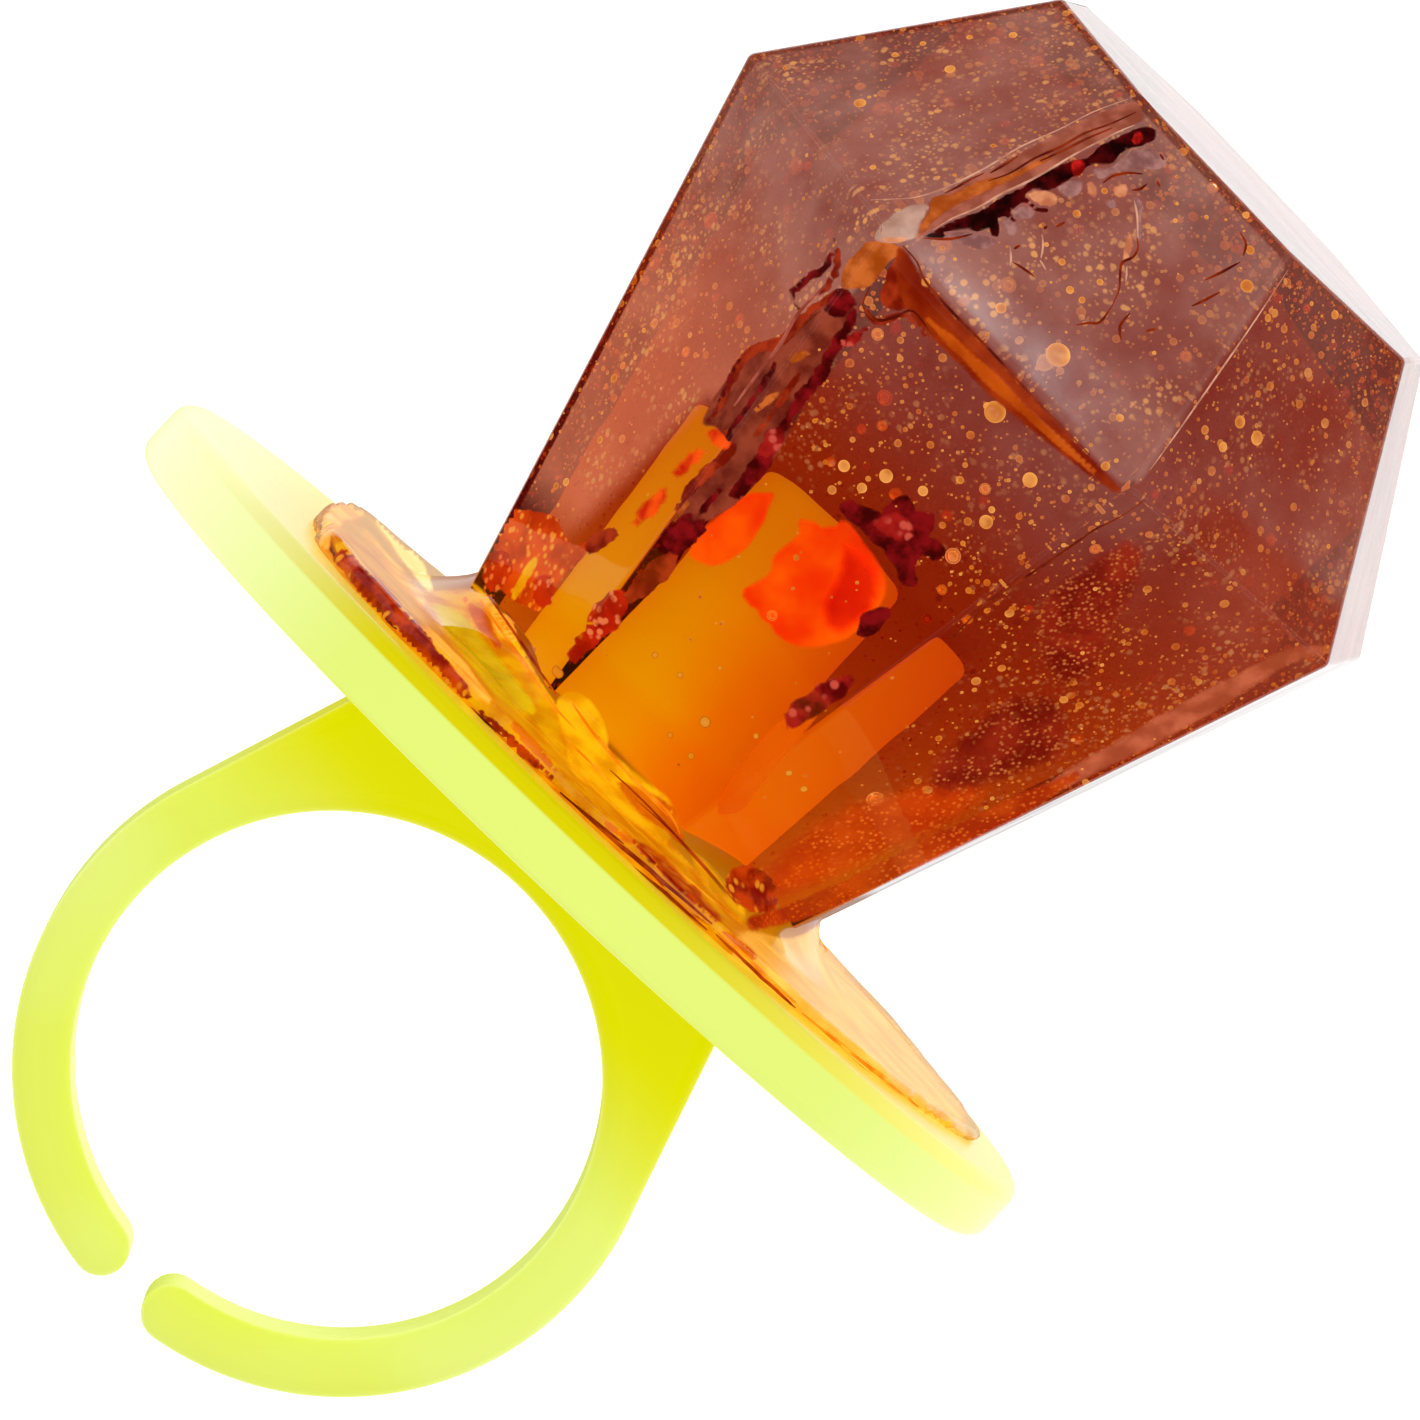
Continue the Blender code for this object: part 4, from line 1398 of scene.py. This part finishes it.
plates(
    "ribbons_dark", black, RIBBON,
    ribbon([(834, 236), (829, 262), (806, 280), (792, 294), (797, 308)], 9),
    ribbon([(850, 292), (840, 304), (826, 314)], 30),
    ribbon([(856, 310), (846, 330), (832, 352), (821, 374), (804, 394), (790, 414), (780, 434)], 15),
    ribbon([(780, 434), (766, 456), (748, 480), (732, 498)], 20),
    ribbon([(779, 352), (769, 376), (752, 401), (736, 422), (728, 440)], 8),
    ribbon([(752, 346), (734, 368), (722, 396), (706, 420)], 5),
    ribbon([(724, 484), (708, 504), (692, 520)], 9),
    ribbon([(700, 516), (684, 534), (664, 546)], 34),
    fade=2.5, ragged=4.0,
)
plates(
    "ribbons_crimson", crimson, RIBBON * 0.8,
    ribbon([(866, 328), (852, 340), (842, 346)], 14),
    ribbon([(784, 426), (772, 442), (760, 456)], 22),
    fade=3, ragged=4.0,
)
plates(
    "void_corner_amber", amber, 0.12 * MM,
    [
        (870, 240), (903, 246), (898, 257), (888, 263), (870, 287), (848, 290), (840, 286), (844, 266),
        (857, 251),
    ],
    ribbon([(786, 366), (797, 357), (810, 352)], 10),
    ribbon([(754, 412), (766, 402), (780, 392)], 9),
    ribbon([(690, 500), (680, 512), (672, 524)], 7),
    fade=3, ragged=1.5,
)
plates(
    "void_left_red", hot_red, 0.5 * MM,
    [(706, 432), (720, 424), (733, 428), (735, 440), (727, 452), (716, 448), (708, 442)],
    ribbon([(706, 448), (694, 458), (682, 468), (674, 478)], 18),
    ribbon([(668, 488), (654, 504), (642, 516), (632, 526)], 20),
    fade=9, ragged=4.0,
)

# %% Speckled foot of the left facet
plates(
    "foot_brown", foot_brown, 0.35 * MM,
    [
        (488, 534), (497, 514), (511, 508), (534, 510), (556, 516), (566, 536), (574, 544), (592, 540),
        (586, 556), (568, 572), (556, 590), (540, 612), (524, 606), (510, 600), (492, 580), (484, 560),
    ],
    fade=4, ragged=2.0,
)
plates(
    "foot_crimson", foot_crimson, 0.25 * MM,
    ribbon([(626, 592), (612, 608), (600, 624), (588, 642)], 36),
    ribbon([(600, 628), (586, 642), (570, 660)], 24),
    [(482, 580), (484, 562), (492, 550), (506, 552), (514, 566), (508, 582), (498, 592), (488, 592)],
    [(531, 584), (538, 574), (550, 574), (556, 588), (550, 604), (540, 608), (532, 598)],
    fade=4, ragged=4.0,
)
plates(
    "foot_slash", spill_gold, 0.15 * MM,
    ribbon([(537, 556), (524, 578), (512, 600)], 11),
    fade=2,
)

# %% Red patches and voids in front of the post
plates(
    "patches_red", patch_red, 3.2 * MM,
    [(742, 495), (776, 493), (769, 515), (756, 540), (738, 558), (711, 569), (688, 556), (697, 535)],
    [
        (799, 517), (830, 526), (848, 520), (884, 569), (884, 603), (855, 637), (810, 650), (783, 643),
        (754, 612), (740, 592), (765, 574), (774, 551), (794, 535),
    ],
    fade=9, ragged=3.0,
)
plates(
    "patch_deep", patch_crimson, 3.1 * MM,
    [
        (840, 540), (858, 546), (876, 566), (884, 584), (880, 604), (864, 624), (842, 638), (824, 630),
        (818, 608), (828, 584), (838, 562),
    ],
    fade=20, ragged=3.0,
)
plates(
    "void_post_black", black, 0.35 * MM,
    [
        (838, 504), (852, 499), (868, 506), (880, 512), (888, 502), (900, 493), (912, 500), (918, 510),
        (932, 511), (936, 524), (931, 534), (945, 544), (946, 556), (934, 561), (920, 556), (915, 572),
        (920, 586), (908, 590), (898, 580), (893, 564), (880, 550), (866, 538), (852, 524), (842, 516),
    ],
    [(854, 634), (858, 618), (872, 608), (890, 606), (892, 618), (880, 630), (866, 638)],
    fade=4, ragged=4.0, steps=2,
)
plates(
    "void_post_crimson", crimson, 0.3 * MM,
    [(872, 522), (884, 514), (900, 512), (912, 522), (916, 536), (904, 544), (890, 538), (878, 532)],
    [
        (785, 724), (786, 706), (806, 692), (826, 680), (848, 674), (856, 684), (842, 700), (820, 714),
        (796, 730),
    ],
    fade=6, ragged=5.0,
)
plates(
    "glow_by_post", post_orange, 0.35 * MM,
    [
        (716, 814), (724, 784), (750, 750), (776, 722), (800, 706), (824, 702), (812, 726), (788, 754),
        (764, 784), (742, 812),
    ],
    fade=7,
)
plates(
    "front_dark", front_deep, 0.4 * MM,
    [
        (1036, 604), (1060, 580), (1090, 556), (1124, 536), (1150, 548), (1140, 590), (1118, 630),
        (1098, 672), (1066, 692), (1042, 668), (1034, 634),
    ],
    [
        (926, 770), (946, 744), (972, 722), (1000, 700), (1034, 690), (1066, 706), (1074, 738), (1056, 766),
        (1022, 776), (990, 788), (952, 800), (930, 792),
    ],
    fade=22, ragged=6.0,
)
plates(
    "foot_speckled", foot_orange, 0.4 * MM,
    [
        (752, 884), (772, 850), (806, 822), (844, 800), (886, 786), (930, 778), (972, 780), (996, 792),
        (950, 832), (890, 860), (832, 888), (780, 904),
    ],
    fade=28, ragged=4.0,
)

# %% [markdown]
# ## Places of the spill, with painted highlights and shade
# The thin sugar over the guard is peach where it is clear, golden where it is thicker, and red to brown
# along its lower edge. Its pale peach and cream streaks are painted highlights, its clear right side also
# carries a painted reflection, and dark lines along its rim are partly painted shade. These places are drawn
# in the same way.

# %% Glow of the spill
WALL = 0.12 * MM

plates(
    "spill_glow", spill_glow, WALL * 1.6,
    [
        (334, 549), (372, 596), (412, 644), (460, 694), (506, 741), (560, 791), (620, 845), (680, 899),
        (722, 938), (748, 936), (742, 918), (712, 886), (676, 846), (636, 800), (598, 756), (564, 712),
        (530, 664), (500, 622), (476, 590), (448, 588), (420, 588), (390, 562), (360, 536), (338, 532),
    ],
    fade=5,
)
# Partly painted reflection: the clear right side is pale peach, the sugar's own tint with the room mirrored
# in it.
plates(
    "spill_clear_with_reflection", spill_clear_with_reflection, WALL * 1.6,
    [
        (744, 928), (790, 936), (838, 916), (862, 946), (880, 980), (912, 1014), (930, 1052), (960, 1090),
        (962, 1122), (930, 1118), (880, 1078), (836, 1042), (796, 1006), (762, 974), (736, 946),
    ],
    fade=7, ragged=2.0,
)

# %% Left end of the spill
plates(
    "spill_end_red", spill_red, WALL,
    ribbon([(338, 552), (352, 568), (370, 590), (392, 616), (418, 644), (444, 672), (470, 698)], 30),
    ribbon([(480, 712), (502, 734), (527, 756), (553, 780)], 12),
    fade=3, ragged=3.0,
)
# Painted highlights: pale peach streaks where the spill's top and edge would mirror the light.
plates(
    "spill_end_peach_highlight", spill_peach_highlight, WALL * 0.7,
    ribbon([(325, 550), (327, 530), (340, 513), (362, 507), (384, 515)], 22),
    ribbon([(424, 628), (450, 654), (475, 684), (491, 704)], 13),
    ribbon([(490, 606), (503, 624), (516, 642)], 20),
    fade=5,
)
# Painted highlight: a cream streak at the spill's far left.
plates(
    "spill_end_cream_highlight", spill_cream_highlight, WALL * 0.7,
    ribbon([(378, 514), (396, 536), (414, 562), (432, 592)], 22),
    fade=6,
)
plates(
    "spill_end_gold", spill_gold, WALL * 0.7,
    ribbon([(362, 528), (382, 552), (404, 580), (426, 604)], 16),
    [(556, 698), (576, 690), (598, 708), (610, 740), (600, 764), (576, 752), (560, 726)],
    ribbon([(470, 580), (492, 608), (516, 644), (548, 698)], 12),
    fade=6,
)
plates(
    "spill_end_olive", spill_olive, WALL * 0.8,
    [
        (430, 606), (448, 604), (466, 616), (492, 646), (514, 674), (536, 704), (534, 716), (504, 706),
        (462, 656),
    ],
    fade=8,
)
plates(
    "spill_end_orange", spill_orange, WALL * 0.6,
    ribbon([(462, 596), (480, 618), (500, 648)], 14),
    ribbon([(512, 722), (534, 746), (556, 772)], 14),
    fade=5, ragged=2.0,
)

# %% Lower end and right side of the spill
plates(
    "spill_low_gold", spill_gold, WALL,
    [
        (566, 734), (584, 730), (616, 754), (648, 780), (674, 804), (668, 846), (640, 830), (600, 796),
        (570, 770),
    ],
    [(918, 1108), (928, 1102), (944, 1106), (956, 1116), (956, 1128), (944, 1132), (930, 1126), (920, 1118)],
    ribbon([(690, 850), (712, 878), (730, 900), (744, 922)], 20),
    fade=8,
)
plates(
    "spill_low_orange", spill_orange, WALL * 0.8,
    [(614, 780), (640, 786), (676, 808), (686, 848), (664, 832), (636, 812)],
    ribbon([(720, 932), (738, 944), (756, 960)], 13),
    ribbon([(604, 822), (618, 832), (634, 844)], 12),
    fade=6,
)
plates(
    "spill_low_red", spill_red, WALL * 0.6,
    ribbon([(632, 840), (660, 862), (688, 890), (704, 906), (722, 922)], 15),
    [
        (724, 884), (730, 870), (746, 864), (764, 870), (776, 886), (778, 904), (768, 914), (750, 912),
        (734, 902),
    ],
    fade=4, ragged=4.0,
)

# %% Glow along the gem's lower edge
plates(
    "edge_low", low_glow, 0.3 * MM,
    ribbon([(748, 924), (800, 910), (860, 885), (920, 857), (980, 827), (1040, 795), (1080, 774)], 30),
    fade=8, ragged=2.0,
)
plates(
    "edge_low_right", edge_mauve, 0.35 * MM,
    ribbon([(1030, 800), (1080, 772), (1136, 742), (1190, 712), (1240, 684), (1290, 656), (1326, 650)], 26),
    fade=8, ragged=2.0,
)

# %% Lines along the spill
# Partly painted highlights: pale orange lines along the spill, some of them highlights of its rim.
threads(
    "spill_pale_lines_and_highlights", line_orange_highlight, WALL * 0.6, 0.07 * MM,
    [(564, 737), (588, 760), (611, 782)],
    [(657, 855), (684, 876), (715, 902), (740, 918)],
    [(718, 930), (756, 967), (796, 1003)],
    [(802, 1013), (840, 1044), (880, 1076), (918, 1107)],
    [(478, 596), (502, 632), (528, 668), (552, 704), (576, 730)],
    [(570, 700), (600, 742), (634, 780), (668, 816)],
    [(598, 736), (630, 776), (668, 812), (680, 834)],
    [(818, 934), (834, 958), (860, 988), (886, 1018), (912, 1048), (936, 1080), (956, 1104)],
)
# Partly painted shade: dark lines along the spill's rim, some of them laid beside the rim as its shade.
threads(
    "spill_rim_lines_and_shade", rim_line_and_shade, WALL, 0.07 * MM,
    [(560, 792), (600, 828), (640, 862), (680, 896), (712, 924)],
    [(716, 934), (756, 972), (796, 1008)],
    [(800, 1018), (840, 1050), (880, 1082), (916, 1112)],
    [(346, 584), (390, 634), (436, 682), (480, 728), (520, 764), (552, 794)],
    [(555, 798), (595, 834), (635, 868), (675, 902), (707, 930)],
    [(711, 940), (751, 978), (791, 1014)],
    [(795, 1024), (835, 1056), (875, 1088), (911, 1118)],
    [(484, 590), (508, 624), (534, 662), (556, 694)],
    [(610, 770), (648, 806), (690, 852), (726, 894)],
    [(636, 800), (672, 832), (706, 868), (738, 906)],
)
